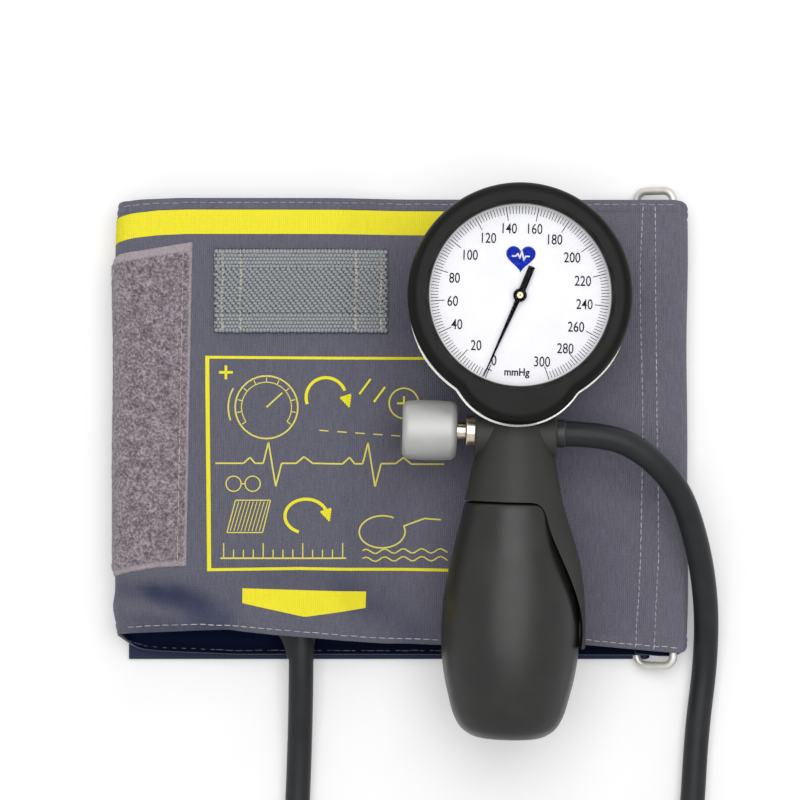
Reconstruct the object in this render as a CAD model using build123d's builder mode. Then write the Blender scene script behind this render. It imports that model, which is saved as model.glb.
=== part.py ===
from build123d import *

import os
from math import atan2, cos, degrees, pi, radians, sin, sqrt, tan

# Aneroid sphygmomanometer: a palm-held gauge with its bulb, lying on a folded arm cuff.
# Millimetres, +Z up. +Y runs from the bulb to the top of the gauge, +X to the hose's side.
# The origin is on the table, under the middle of the whole object.

# Folded cuff, seen from its hem: strips of cloth that follow one long path in X and Z
cuff_bottom_y = -60.5
cuff_length_y = 140.0
outer_cloth = 0.8
lining_cloth = 0.6
cloth_gap = 0.05
bladder_thickness = 2.0
tail_gap = 3.2
sleeve_height = 6.0
front_drop = 7.2
drop_start_x = -18.0
drop_end_x = 2.0
drop_bend = 12.0
flap_bend = 1.0
fold_centre_x = -79.8
tail_end_x = -81.0
pocket_end_x = -42.0
front_bladder_end_x = 64.0
hem_margin = 4.0

# Wire ring that the cuff's tail is threaded through
ring_wire = 2.5
ring_bar_spacing = 11.9
ring_corner = 3.2
ring_low_bar_x = 73.3
ring_end_room = 1.65
ring_tunnel_room = 0.35
tunnel_flap_x = 72.5
tunnel_seam_x = 80.2

# Patches and strap on the cuff
loop_pile = 1.2
loop_front_x = -62.6
loop_back_x = -45.0
loop_bottom_y = -33.0
loop_length_y = 97.5
hook_pile = 1.6
strap_left_x = -56.0
strap_right_x = -3.5
strap_hem_gap = 15.8
strap_width = 25.2
strap_thickness = 1.2

# Hose and the cuff's port
hose_diameter = 7.6
hose_bore = 4.0
barb_length = 7.0
barb_fit = 0.05
port_x = -29.7
port_y = -40.0
port_reach = 8.0
port_flange_radius = 8.0
port_flange = 0.7
port_stem_radius = 2.6

# Gauge unit: its own frame has the pointer's axis at x 0, y 0 and its back at z 0
unit_x = 36.1
unit_y = 49.3
unit_turn = -1.5
unit_clear = 0.3
head_radius = 33.4
chin_radius = 20.55
chin_overhang = 5.1
shoulder_fillet = 4.0
case_inset = 1.0
case_edge = 5.0
case_wall = 2.0
case_floor = 2.5
case_rim = 3.9
trim_depth = 6.0
trim_width = 4.5
trim_proud = 0.65
trim_drop = 2.0
trim_inset = 0.5
trim_wall = 0.5
neck_clear = 0.2
guard_edge = 3.4
guard_lip = 2.25
window_inset = 1.5
window_flare = 1.2

# Dial, lens and pointer
dial_thickness = 0.6
dial_overlap = 1.5
lens_overlap = 1.9
lens_ring_height = 2.5
lens_thickness = 1.6
lens_bevel = 0.4
pointer_short = 0.6
pointer_tail = 8.8
pointer_sweep = 318.2
pointer_offset = 1.8
pointer_gap = 0.9
pointer_blade = 0.3
pointer_hub_radius = 2.0
pointer_hub_height = 1.2
dial_pin_gap = 0.5

# Movement, stacked on the case's floor: capsule, rocking lever, plates and dial
pinion_teeth = 12
sector_ratio = 10
sector_tooth_count = 14
sector_thickness = 0.8
sector_drop = 2.0
sector_pillar_gap = 2.2
arbor_radius = 0.6
pivot_fit = 0.05
plate_room = 2.5
plate_edge = 4.0
plate_thickness = 1.0
plate_rise = 5.0
plate_spacing = 6.4
dial_room = 2.6
pillar_radius = 1.2
pillar_x = 9.0
top_pillar_y = 7.5
post_inset = 4.5
post_radius = 1.5
screw_recess = 0.4
screw_wall = 0.6
tail_arm = 2.75
tail_pin_radius = 0.45
hairspring_rise = 2.2
hairspring_height = 0.8
hairspring_start = 1.3
hairspring_step = 0.45
hairspring_turns = 4
hairspring_strip = 0.2
capsule_side_gap = 3.5
capsule_rise = 2.1
capsule_height = 4.4
capsule_wave = 0.5
capsule_wall = 0.4
capsule_post_radius = 2.0
capsule_button = 0.8
post_rise = 2.6
post_pin_radius = 0.6
rocker_arm = 10.0
rocker_rise = 1.4
rocker_shaft_radius = 0.8
rocker_shaft_half = 6.8
rocker_finger_drop = 1.2
rocker_gap = 0.3
tube_radius = 1.0
tube_bend = 3.0

# Handle, valve and manifold
axis_drop = 6.1
valve_drop = 2.3
neck_radius = 12.2
neck_wall = 1.2
cross_tube_radius = 7.0
cross_tube_drop = 1.0
cross_tube_edge = 0.8
guard_clear = 0.3
guard_thickness = 1.5
cover_wall = 1.0
block_inset = 3.7
block_half_z = 4.0
spigot_radius = 4.6
spigot_length = 14.0
air_bore = 1.2
stem_radius = 3.0
nut_size = 9.0
nut_thickness = 2.4
boss_radius = 3.0
side_bore = 1.9
collar_radius = 4.7
collar_length = 2.8
valve_stem_length = 2.5
knob_length = 16.4
knob_radius = 9.0
knob_crown = 0.45
knob_edge = 2.2
needle_radius = 0.9
needle_length = 7.4
valve_stem_radius = 2.6
needle_fit = 0.06
seal_wire = 0.45
connector_length = 2.8
connector_radius = 4.2
connector_spigot = 4.5

# Bulb: its profile is given from the end of the handle's neck, as a share of its length and a radius
bulb_length = 83.6
bulb_shape = [(0, 10.2), (0.142, 13.4), (0.320, 17.5), (0.474, 20.0), (0.629, 20.7), (0.759, 19.8),
              (0.878, 17.5), (0.960, 14.6)]
bulb_wall = 2.4
bulb_end_corner = 4.0
cover_share = 0.152
guard_share = 0.682
shoulder_groove = 1.5
shoulder_step = 2.2
washer_radius = 8.8
outlet_cage_radius = 3.9
outlet_cage_length = 5.0
outlet_seat = 2.4
flap_thickness = 0.8
intake_radius = 5.0
intake_flange_radius = 6.4
intake_length = 10.0
intake_bore = 3.6
intake_flange = 1.2
intake_seat = 4.0
seat_hole = 1.4

# Levels in the gauge unit's frame, from the back up
capsule_z = case_floor + capsule_rise
capsule_post_top = capsule_z + capsule_height + post_rise
rocker_z = capsule_post_top + rocker_rise
lower_plate_z = rocker_z + plate_rise
upper_plate_z = lower_plate_z + plate_spacing
hairspring_z = lower_plate_z + hairspring_rise
sector_z = upper_plate_z - sector_drop
rocker_finger_top = sector_z - rocker_finger_drop
case_height = upper_plate_z + dial_room
dial_z = case_height + cloth_gap
dial_face_z = dial_z + dial_thickness
lens_z = dial_face_z + lens_ring_height
lens_top_z = lens_z + lens_thickness
head_thickness = lens_top_z + guard_lip
trim_z = case_height - trim_depth
guard_z = trim_z + trim_width + cloth_gap
axis_z = case_height - axis_drop

# Sizes across the head, from the outside in
case_bore = head_radius - case_inset - case_rim
window_radius = case_bore - window_inset
dial_radius = case_bore + dial_overlap
lens_radius = case_bore + lens_overlap
pointer_reach = window_radius - pointer_short
lower_plate_radius = case_bore - plate_room
post_circle = case_bore - post_inset
capsule_radius = post_circle - post_radius - capsule_side_gap
pillar_y = plate_edge - lower_plate_radius
sector_y = pillar_y + sector_pillar_gap
gear_module = -2 * sector_y / (pinion_teeth * (1 + sector_ratio))
pinion_radius = gear_module * pinion_teeth / 2
sector_radius = pinion_radius * sector_ratio

# Places along the handle, from the chin down, and along the valve, from the neck out
chin_drop = head_radius + chin_overhang - chin_radius
chin_end_y = -head_radius - chin_overhang
stem_top_y = chin_end_y + 6.3
valve_y = chin_end_y - valve_drop
cross_tube_y = valve_y - cross_tube_drop
block_top_y = chin_end_y - trim_proud - 0.35
block_bottom_y = valve_y - 5.8
neck_end_y = block_bottom_y - 2.0
spigot_end_y = block_bottom_y - spigot_length
cover_end_y = neck_end_y - cover_share * bulb_length
guard_end_y = neck_end_y - guard_share * bulb_length
bulb_end_y = neck_end_y - bulb_length
bulb_profile = [(neck_end_y - share * bulb_length, r) for share, r in bulb_shape]
cover_end_radius = bulb_shape[1][1] + guard_clear + cover_wall
neck_profile = [(neck_end_y + 11.5, neck_radius - 4.0), (neck_end_y + 9.0, neck_radius - 2.8),
                (neck_end_y + 7.0, neck_radius - 1.9), (neck_end_y + 3.5, neck_radius - 1.0),
                (neck_end_y, neck_radius - 0.1)]
block_half_x = neck_radius - block_inset
collar_inner_x = -neck_radius
collar_outer_x = collar_inner_x - collar_length
knob_inner_x = collar_outer_x - valve_stem_length
knob_outer_x = knob_inner_x - knob_length
connector_outer_x = neck_radius + connector_length

# Levels in the cuff, from the table up. Each strip's value is its middle
tail_lining_z = lining_cloth / 2
tail_outer_z = lining_cloth + outer_cloth / 2
second_outer_z = lining_cloth + outer_cloth + tail_gap + outer_cloth / 2
second_lining_z = second_outer_z + (outer_cloth + lining_cloth) / 2
pocket = bladder_thickness + 4 * cloth_gap
pocket_lining_z = second_lining_z + pocket
hump_lining_z = pocket_lining_z + lining_cloth + sleeve_height
hump_outer_z = hump_lining_z + pocket + (outer_cloth + lining_cloth) / 2
front_outer_z = hump_outer_z - front_drop
front_lining_z = hump_lining_z - front_drop
flat_lining_z = front_outer_z - (outer_cloth + lining_cloth) / 2
front_top_z = front_outer_z + outer_cloth / 2
fold_centre_z = (hump_outer_z + second_outer_z) / 2
fold_outer_radius = (hump_outer_z - second_outer_z) / 2
fold_lining_radius = (hump_lining_z - pocket_lining_z) / 2

# Bars of the wire ring: the low one holds the tail, the high one sits in the front panel's tunnel
wrap_inner = ring_wire / 2 + ring_tunnel_room
low_bar_z = tail_outer_z + outer_cloth / 2 + wrap_inner
high_bar_z = front_outer_z - outer_cloth / 2 - lining_cloth - wrap_inner
ring_rise = high_bar_z - low_bar_z
ring_run = sqrt(ring_bar_spacing ** 2 - ring_rise ** 2)
high_bar_x = ring_low_bar_x + ring_run
wrap_centre_x = ring_low_bar_x + 1.0
wrap_outer_radius = wrap_inner + outer_cloth / 2
wrap_lining_radius = wrap_inner + outer_cloth + lining_cloth / 2
tunnel_lining_radius = wrap_inner + lining_cloth / 2
tunnel_outer_radius = wrap_inner + lining_cloth + outer_cloth / 2
strip_step = (outer_cloth + lining_cloth) / 2
flap_lining_z = flat_lining_z - lining_cloth - cloth_gap
flap_outer_z = flap_lining_z - strip_step
flap_corner_x = high_bar_x - 2.0
flap_slope = atan2(flap_outer_z - high_bar_z + tunnel_outer_radius, flap_corner_x - tunnel_seam_x)
flap_shift = strip_step * tan(flap_slope / 2)
cuff_top_y = cuff_bottom_y + cuff_length_y
# A half turn is two arcs, each just short of meeting the next
corner = 0.999

unit_z = front_top_z + unit_clear
unit_place = Location((unit_x, unit_y, unit_z), (0, 0, unit_turn))

os.makedirs("parts", exist_ok=True)


def along_cuff(start_y):
    """A plane across the cuff, whose sketch runs in X and Z, that faces +Y from start_y."""
    return Plane(origin=(0, start_y, 0), x_dir=(-1, 0, 0), z_dir=(0, 1, 0))


def strip_path(points, radii):
    """The middle line of a strip of cloth through the given X, Z points."""
    FilletPolyline(*[(-x, z) for x, z in points], radius=radii)


# Outer cloth: one strip from the flap behind the ring, over the front, round the fold to the tail
with BuildPart() as cuff_outer:
    with BuildSketch(along_cuff(cuff_bottom_y)):
        with BuildLine() as outer_line:
            strip_path(
                [(tunnel_flap_x, flap_outer_z), (tunnel_seam_x, flap_outer_z),
                 (flap_corner_x, high_bar_z - tunnel_outer_radius),
                 (high_bar_x + tunnel_outer_radius, high_bar_z - tunnel_outer_radius),
                 (high_bar_x + tunnel_outer_radius, front_outer_z),
                 (drop_end_x, front_outer_z), (drop_start_x, hump_outer_z),
                 (fold_centre_x - fold_outer_radius, hump_outer_z),
                 (fold_centre_x - fold_outer_radius, second_outer_z),
                 (wrap_centre_x + wrap_outer_radius, second_outer_z),
                 (wrap_centre_x + wrap_outer_radius, tail_outer_z),
                 (tail_end_x, tail_outer_z)],
                [flap_bend, flap_bend + strip_step, tunnel_outer_radius * corner,
                 tunnel_outer_radius * corner, drop_bend, drop_bend,
                 fold_outer_radius * corner, fold_outer_radius * corner,
                 wrap_outer_radius * corner, wrap_outer_radius * corner])
        trace(outer_line.wire(), outer_cloth)
    extrude(amount=cuff_length_y)
cuff_outer.part.label = "cuff_outer"
export_step(cuff_outer.part, "parts/cuff_outer.step")

# Lining: the same way round, apart from the outer cloth where the bladder's pocket is
with BuildPart() as cuff_lining:
    with BuildSketch(along_cuff(cuff_bottom_y)):
        with BuildLine() as lining_line:
            strip_path(
                [(tunnel_flap_x, flap_lining_z), (tunnel_seam_x + flap_shift, flap_lining_z),
                 (flap_corner_x + flap_shift, high_bar_z - tunnel_lining_radius),
                 (high_bar_x + tunnel_lining_radius, high_bar_z - tunnel_lining_radius),
                 (high_bar_x + tunnel_lining_radius, flat_lining_z),
                 (front_bladder_end_x + 5.5, flat_lining_z), (front_bladder_end_x + 2.0, front_lining_z),
                 (drop_end_x - 1.0, front_lining_z), (drop_start_x - 1.0, hump_lining_z),
                 (fold_centre_x - fold_lining_radius, hump_lining_z),
                 (fold_centre_x - fold_lining_radius, pocket_lining_z),
                 (pocket_end_x + 1.0, pocket_lining_z), (pocket_end_x + 6.0, second_lining_z),
                 (wrap_centre_x + wrap_lining_radius, second_lining_z),
                 (wrap_centre_x + wrap_lining_radius, tail_lining_z),
                 (tail_end_x, tail_lining_z)],
                [flap_bend + strip_step, flap_bend, tunnel_lining_radius * corner,
                 tunnel_lining_radius * corner, 2.0, 2.0, drop_bend + pocket + strip_step,
                 drop_bend - pocket - strip_step, fold_lining_radius * corner,
                 fold_lining_radius * corner, 2.0, 2.0,
                 wrap_lining_radius * corner, wrap_lining_radius * corner])
        trace(lining_line.wire(), lining_cloth)
    extrude(amount=cuff_length_y)
    # Hole for the bladder port's stem
    with Locations((port_x, port_y, hump_lining_z)):
        Cylinder(port_stem_radius + cloth_gap, 4 * lining_cloth, mode=Mode.SUBTRACT)
cuff_lining.part.label = "cuff_lining"
export_step(cuff_lining.part, "parts/cuff_lining.step")


def pocket_strip(start_y, length, thickness):
    """A strip in the middle of the pocket between the two cloths, round the left fold."""
    middle = (outer_cloth + pocket) / 2
    radius = fold_outer_radius - middle
    with BuildPart() as strip:
        with BuildSketch(along_cuff(start_y)):
            with BuildLine() as middle_line:
                strip_path(
                    [(front_bladder_end_x, front_outer_z - middle),
                     (drop_end_x - 0.5, front_outer_z - middle),
                     (drop_start_x - 0.5, hump_outer_z - middle),
                     (fold_centre_x - radius, hump_outer_z - middle),
                     (fold_centre_x - radius, second_outer_z + middle),
                     (pocket_end_x, second_outer_z + middle)],
                    [drop_bend + middle, drop_bend - middle, radius * corner, radius * corner])
            trace(middle_line.wire(), thickness)
        extrude(amount=length)
    return strip.part


# Bladder, a flat rubber bag, with a hole under the port's stem
with BuildPart() as bladder:
    add(pocket_strip(cuff_bottom_y + hem_margin + 0.5, cuff_length_y - 2 * hem_margin - 1.0,
                     bladder_thickness))
    with Locations((port_x, port_y, hump_lining_z + (lining_cloth + pocket) / 2)):
        Cylinder(hose_bore / 2, bladder_thickness, mode=Mode.SUBTRACT)
bladder.part.label = "bladder"
export_step(bladder.part, "parts/bladder.step")

# Seam allowance: the turned-in cloth that closes the pocket along both hems
with BuildPart() as seam_allowance:
    add(pocket_strip(cuff_bottom_y, hem_margin, bladder_thickness))
    add(pocket_strip(cuff_top_y - hem_margin, hem_margin, bladder_thickness))
seam_allowance.part.label = "seam_allowance"
export_step(seam_allowance.part, "parts/seam_allowance.step")

# Loop patch: from the front, round the left fold, to the underside of the second layer
loop_radius = fold_outer_radius + outer_cloth / 2 + cloth_gap + loop_pile / 2
with BuildPart() as loop_patch:
    with BuildSketch(along_cuff(loop_bottom_y)):
        with BuildLine() as loop_line:
            strip_path(
                [(loop_front_x, fold_centre_z + loop_radius),
                 (fold_centre_x - loop_radius, fold_centre_z + loop_radius),
                 (fold_centre_x - loop_radius, fold_centre_z - loop_radius),
                 (loop_back_x, fold_centre_z - loop_radius)],
                loop_radius * corner)
        trace(loop_line.wire(), loop_pile)
    extrude(amount=loop_length_y)
loop_patch.part.label = "loop_patch"
export_step(loop_patch.part, "parts/loop_patch.step")

# Hook patch on the tail, facing the loop patch's lower run
with BuildPart() as hook_patch:
    with Locations(((tail_end_x + loop_back_x) / 2, loop_bottom_y + loop_length_y / 2,
                    tail_outer_z + outer_cloth / 2 + cloth_gap)):
        Box(loop_back_x - tail_end_x - 2.0, loop_length_y, hook_pile,
            align=(Align.CENTER, Align.CENTER, Align.MIN))
hook_patch.part.label = "hook_patch"
export_step(hook_patch.part, "parts/hook_patch.step")

# Webbing strap, stitched at both ends over the top of the front panel
strap_rise = (outer_cloth + strap_thickness) / 2 + cloth_gap
with BuildPart() as webbing_strap:
    with BuildSketch(along_cuff(cuff_top_y - strap_hem_gap - strap_width)):
        with BuildLine() as strap_line:
            drop_share = (strap_right_x - drop_start_x) / (drop_end_x - drop_start_x)
            strip_path(
                [(strap_left_x, hump_outer_z + strap_rise),
                 (drop_start_x + 0.3, hump_outer_z + strap_rise),
                 (strap_right_x, hump_outer_z - drop_share * front_drop + strap_rise + 0.3)],
                drop_bend - 1.0)
        trace(strap_line.wire(), strap_thickness)
    extrude(amount=strap_width)
webbing_strap.part.label = "webbing_strap"
export_step(webbing_strap.part, "parts/webbing_strap.step")

# Wire ring: two long bars with short ends outside the hems
ring_half = cuff_length_y / 2 + ring_end_room + ring_wire / 2
ring_plane = Plane(origin=((ring_low_bar_x + high_bar_x) / 2, cuff_bottom_y + cuff_length_y / 2,
                           (low_bar_z + high_bar_z) / 2),
                   x_dir=(ring_run, 0, ring_rise), z_dir=(-ring_rise, 0, ring_run))
with BuildPart() as cuff_ring:
    with BuildLine(ring_plane) as ring_line:
        FilletPolyline((ring_bar_spacing / 2, ring_half), (ring_bar_spacing / 2, -ring_half),
                       (-ring_bar_spacing / 2, -ring_half), (-ring_bar_spacing / 2, ring_half),
                       radius=ring_corner, close=True)
    with BuildSketch(Plane(origin=ring_line.line @ 0, z_dir=ring_line.line % 0)):
        Circle(ring_wire / 2)
    sweep(path=ring_line.wire())
cuff_ring.part.label = "cuff_ring"
export_step(cuff_ring.part, "parts/cuff_ring.step")

# Bladder port: a flange under the lining, a stem into the bladder and a barb that points to the hem
port_z = second_lining_z + lining_cloth / 2 + hose_diameter / 2 + unit_clear
port_top = hump_lining_z - lining_cloth / 2 - cloth_gap
with BuildPart() as bladder_port:
    with BuildSketch(Plane.XY.offset(port_top - port_flange)):
        with Locations((port_x, port_y)):
            Circle(port_flange_radius)
    extrude(amount=port_flange)
    with BuildSketch(Plane.XY.offset(port_z)):
        with Locations((port_x, port_y)):
            Circle(port_stem_radius)
    extrude(until=Until.NEXT)
    with Locations((port_x, port_y, port_top)):
        Cylinder(port_stem_radius, lining_cloth + 2 * cloth_gap,
                 align=(Align.CENTER, Align.CENTER, Align.MIN))
    with Locations((port_x, port_y, port_z)):
        Sphere(hose_diameter / 2 - 0.4)
    with BuildSketch(Plane(origin=(port_x, port_y, port_z), x_dir=(1, 0, 0), z_dir=(0, -1, 0))):
        Circle(hose_diameter / 2 - 0.4)
    extrude(amount=port_reach)
    with BuildSketch(Plane(origin=(port_x, port_y - port_reach, port_z), x_dir=(1, 0, 0), z_dir=(0, -1, 0))):
        Circle(hose_bore / 2 - barb_fit)
    extrude(amount=barb_length)
    with BuildSketch(Plane(origin=(port_x, port_y, port_z), x_dir=(1, 0, 0), z_dir=(0, -1, 0))):
        Circle(hose_bore / 4)
    extrude(amount=port_reach + barb_length, mode=Mode.SUBTRACT)
    with BuildSketch(Plane.XY.offset(port_z)):
        with Locations((port_x, port_y)):
            Circle(hose_bore / 4)
    extrude(amount=hump_lining_z - port_z + lining_cloth, mode=Mode.SUBTRACT)
bladder_port.part.label = "bladder_port"
export_step(bladder_port.part, "parts/bladder_port.step")


def head_outline(grow):
    """The head's round outline with its chin, grown outward by the given amount."""
    head = head_radius + grow
    chin = chin_radius + grow
    to_head = head + shoulder_fillet
    to_chin = chin + shoulder_fillet
    corner_y = (to_chin ** 2 - to_head ** 2 - chin_drop ** 2) / (2 * chin_drop)
    corner_x = sqrt(to_head ** 2 - corner_y ** 2)
    head_angle = degrees(atan2(corner_y, corner_x))
    chin_angle = degrees(atan2(corner_y + chin_drop, corner_x))
    with BuildSketch() as outline:
        with BuildLine():
            CenterArc((0, 0), head, head_angle, 180 - 2 * head_angle)
            CenterArc((0, -chin_drop), chin, 180 - chin_angle, 180 + 2 * chin_angle)
            CenterArc((corner_x, corner_y), shoulder_fillet, 180 + head_angle, chin_angle - head_angle)
            CenterArc((-corner_x, corner_y), shoulder_fillet, -head_angle, head_angle - chin_angle)
        make_face()
    return outline.sketch


def across(y):
    """A plane in the gauge unit that faces -Y from y, centred on the handle's axis."""
    return Plane(origin=(0, y, axis_z), x_dir=(1, 0, 0), z_dir=(0, -1, 0))


def sideways(x, facing):
    """A plane in the gauge unit that faces along X from x, centred on the valve's axis."""
    return Plane(origin=(x, valve_y, axis_z), x_dir=(0, 1, 0), z_dir=(facing, 0, 0))


# Case: a metal cup with a round bore for the movement and a smaller one in the chin
with BuildPart() as gauge_case:
    with BuildSketch():
        add(head_outline(-case_inset))
    extrude(amount=case_height)
    fillet(gauge_case.faces().sort_by(Axis.Z)[0].edges(), case_edge)
    with BuildSketch(Plane.XY.offset(case_floor)):
        Circle(case_bore)
        with Locations((0, -chin_drop)):
            Circle(chin_radius - case_inset - case_wall)
    extrude(amount=case_height, mode=Mode.SUBTRACT)
    with BuildSketch(across(-chin_drop)):
        Circle(stem_radius + pivot_fit)
    extrude(amount=chin_radius, mode=Mode.SUBTRACT)
    with Locations((0, 0, case_floor)):
        Hole(radius=post_radius)
    with PolarLocations(post_circle, 3, 90):
        Hole(radius=post_radius - screw_wall)
gauge_case.part.label = "gauge_case"
gauge_case.part.location = unit_place
export_step(gauge_case.part, "parts/gauge_case.step")

# Trim band: a bright metal band round the case, which stands out below the rubber round the chin
with BuildPart() as trim_band:
    with BuildSketch(Plane.XY.offset(trim_z)):
        add(head_outline(trim_proud))
        with Locations((0, -trim_drop)):
            add(head_outline(-trim_inset), mode=Mode.INTERSECT)
        add(head_outline(trim_wall - case_inset))
        add(head_outline(cloth_gap - case_inset), mode=Mode.SUBTRACT)
    extrude(amount=trim_width)
    # Room for the manifold's stem and for the valve's boss behind the chin
    with BuildSketch(across(-chin_drop)):
        Circle(stem_radius + pivot_fit)
    extrude(amount=2 * chin_radius, mode=Mode.SUBTRACT)
    with BuildSketch(sideways(-neck_radius, 1)):
        Circle(boss_radius + 0.1)
    extrude(amount=2 * neck_radius, mode=Mode.SUBTRACT)
trim_band.part.label = "trim_band"
trim_band.part.location = unit_place
export_step(trim_band.part, "parts/trim_band.step")

# Bezel guard: the black rubber bumper that grips the case and laps over the lens
with BuildPart() as bezel_guard:
    with BuildSketch(Plane.XY.offset(guard_z)):
        add(head_outline(0))
    extrude(amount=head_thickness - guard_z)
    fillet(bezel_guard.faces().sort_by(Axis.Z)[-1].edges(), guard_edge)
    with BuildSketch(Plane.XY.offset(guard_z)):
        add(head_outline(cloth_gap - case_inset))
    extrude(amount=case_height + cloth_gap - guard_z, mode=Mode.SUBTRACT)
    with BuildSketch(Plane.XY.offset(case_height)):
        Circle(lens_radius + 0.2)
    extrude(amount=lens_top_z + cloth_gap - case_height, mode=Mode.SUBTRACT)
    with Locations((0, 0, lens_top_z)):
        Cone(window_radius, window_radius + window_flare, head_thickness - lens_top_z,
             align=(Align.CENTER, Align.CENTER, Align.MIN), mode=Mode.SUBTRACT)
bezel_guard.part.label = "bezel_guard"
bezel_guard.part.location = unit_place
export_step(bezel_guard.part, "parts/bezel_guard.step")

# Dial plate, with a hole for the pointer's arbor
with BuildPart() as dial_plate:
    with BuildSketch(Plane.XY.offset(dial_z)):
        Circle(dial_radius)
        Circle(arbor_radius + 2 * pivot_fit + 0.3, mode=Mode.SUBTRACT)
    extrude(amount=dial_thickness)
dial_plate.part.label = "dial_plate"
dial_plate.part.location = unit_place
export_step(dial_plate.part, "parts/dial_plate.step")

# Lens ring, which holds the dial down and carries the lens
with BuildPart() as lens_ring:
    with BuildSketch(Plane.XY.offset(dial_face_z)):
        Circle(lens_radius)
        Circle(case_bore, mode=Mode.SUBTRACT)
    extrude(amount=lens_ring_height)
lens_ring.part.label = "lens_ring"
lens_ring.part.location = unit_place
export_step(lens_ring.part, "parts/lens_ring.step")

# Lens: a clear disc with a softened edge
with BuildPart() as lens:
    with BuildSketch(Plane.XY.offset(lens_z)):
        Circle(lens_radius)
    extrude(amount=lens_thickness)
    chamfer(lens.faces().sort_by(Axis.Z)[-1].edges(), lens_bevel)
lens.part.label = "lens"
lens.part.location = unit_place
export_step(lens.part, "parts/lens.step")

# The pointer rests at zero, a little left of straight down, and sweeps clockwise
pointer_rest = 270 - (360 - pointer_sweep) / 2 - pointer_offset
pointer_z = dial_face_z + pointer_gap
with BuildPart() as pointer:
    with BuildSketch(Plane.XY.offset(pointer_z).rotated((0, 0, pointer_rest))):
        Polygon((0, 0.75), (0, -0.75), (pointer_reach, -0.12), (pointer_reach, 0.12), align=None)
        Polygon((0, 0.5), (0, -0.5), (-pointer_tail, -0.8), (-pointer_tail, 0.8), align=None)
    extrude(amount=pointer_blade)
    with BuildSketch(Plane.XY.offset(dial_face_z + dial_pin_gap)):
        Circle(pointer_hub_radius)
    extrude(amount=pointer_hub_height)
    with BuildSketch(Plane.XY.offset(dial_face_z + dial_pin_gap)):
        Circle(arbor_radius + 0.01)
    extrude(amount=pointer_hub_height, mode=Mode.SUBTRACT)
pointer.part.label = "pointer"
pointer.part.location = unit_place
export_step(pointer.part, "parts/pointer.step")


def gear_tooth(pitch_radius):
    """One tooth on the +X side of a gear, with straight flanks and room to run."""
    inner = pitch_radius - 1.4 * gear_module
    outer = pitch_radius + 0.7 * gear_module
    root = 0.73 * gear_module
    tip = 0.3 * gear_module
    Polygon((inner, -root), (outer, -tip), (outer, tip), (inner, root), align=None)


# Pinion arbor: the pointer's shaft, with the pinion cut on it
arbor_bottom = lower_plate_z - 0.4
arbor_top = dial_face_z + dial_pin_gap + pointer_hub_height + 0.3
with BuildPart() as pinion_arbor:
    with BuildSketch(Plane.XY.offset(arbor_bottom)):
        Circle(arbor_radius)
    extrude(amount=arbor_top - arbor_bottom)
    with BuildSketch(Plane.XY.offset(sector_z - 0.3)):
        Circle(pinion_radius - gear_module)
        with PolarLocations(0, pinion_teeth, 270):
            gear_tooth(pinion_radius)
    extrude(amount=sector_thickness + 0.6)
pinion_arbor.part.label = "pinion_arbor"
pinion_arbor.part.location = unit_place
export_step(pinion_arbor.part, "parts/pinion_arbor.step")

# Sector gear: a toothed rim on an arm, with a tail and pin that the rocking lever pushes
tooth_angle = 360 / (pinion_teeth * sector_ratio)
sector_swing = pointer_sweep / sector_ratio
first_tooth = 90 + 1.5 * tooth_angle
rim_end = first_tooth + tooth_angle / 2
rim_start = first_tooth - (sector_tooth_count - 0.5) * tooth_angle
arm_turn = (rim_start + rim_end) / 2
tail_turn = 180 - sector_swing / 2
rim_inner = sector_radius - 3.0
rim_outer = sector_radius - gear_module
with BuildPart() as sector_gear:
    with BuildSketch(Plane.XY.offset(sector_z)):
        with BuildLine():
            outer_arc = CenterArc((0, sector_y), rim_outer, rim_start, rim_end - rim_start)
            inner_arc = CenterArc((0, sector_y), rim_inner, rim_start, rim_end - rim_start)
            Line(outer_arc @ 0, inner_arc @ 0)
            Line(outer_arc @ 1, inner_arc @ 1)
        make_face()
        with Locations((0, sector_y)):
            with PolarLocations(0, sector_tooth_count, first_tooth, -tooth_angle * sector_tooth_count):
                gear_tooth(sector_radius)
            Circle(pillar_radius + 0.8)
        with Locations(Location((0, sector_y, 0), (0, 0, arm_turn))):
            Rectangle(rim_inner + 0.5, 2.6, align=(Align.MIN, Align.CENTER))
        with Locations(Location((0, sector_y, 0), (0, 0, tail_turn))):
            Rectangle(tail_arm, 2 * tail_pin_radius + 0.5, align=(Align.MIN, Align.CENTER))
            with Locations((tail_arm, 0)):
                Circle(tail_pin_radius + 0.3)
    extrude(amount=sector_thickness)
    with BuildSketch(Plane.XY.offset(arbor_bottom)):
        with Locations((0, sector_y)):
            Circle(arbor_radius)
    extrude(amount=upper_plate_z + plate_thickness + 0.2 - arbor_bottom)
    with BuildSketch(Plane.XY.offset(lower_plate_z + plate_thickness + 0.3)):
        with Locations((tail_arm * cos(radians(tail_turn)), sector_y + tail_arm * sin(radians(tail_turn)))):
            Circle(tail_pin_radius)
    extrude(amount=sector_z - lower_plate_z - plate_thickness)
sector_gear.part.label = "sector_gear"
sector_gear.part.location = unit_place
export_step(sector_gear.part, "parts/sector_gear.step")

# Hairspring: a flat spiral of half turns round the pinion's arbor, its outer end in a stud
with BuildPart() as hairspring:
    with BuildSketch(Plane.XY.offset(hairspring_z)):
        with BuildLine() as spiral:
            for turn in range(hairspring_turns):
                start_radius = hairspring_start + 2 * turn * hairspring_step
                CenterArc((0, 0), start_radius, 0, 180)
                CenterArc((hairspring_step, 0), start_radius + hairspring_step, 180, 180)
        trace(spiral.wire(), hairspring_strip)
    extrude(amount=hairspring_height)
hairspring.part.label = "hairspring"
hairspring.part.location = unit_place
export_step(hairspring.part, "parts/hairspring.step")
hairspring_end_x = hairspring_start + 2 * hairspring_turns * hairspring_step

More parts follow.
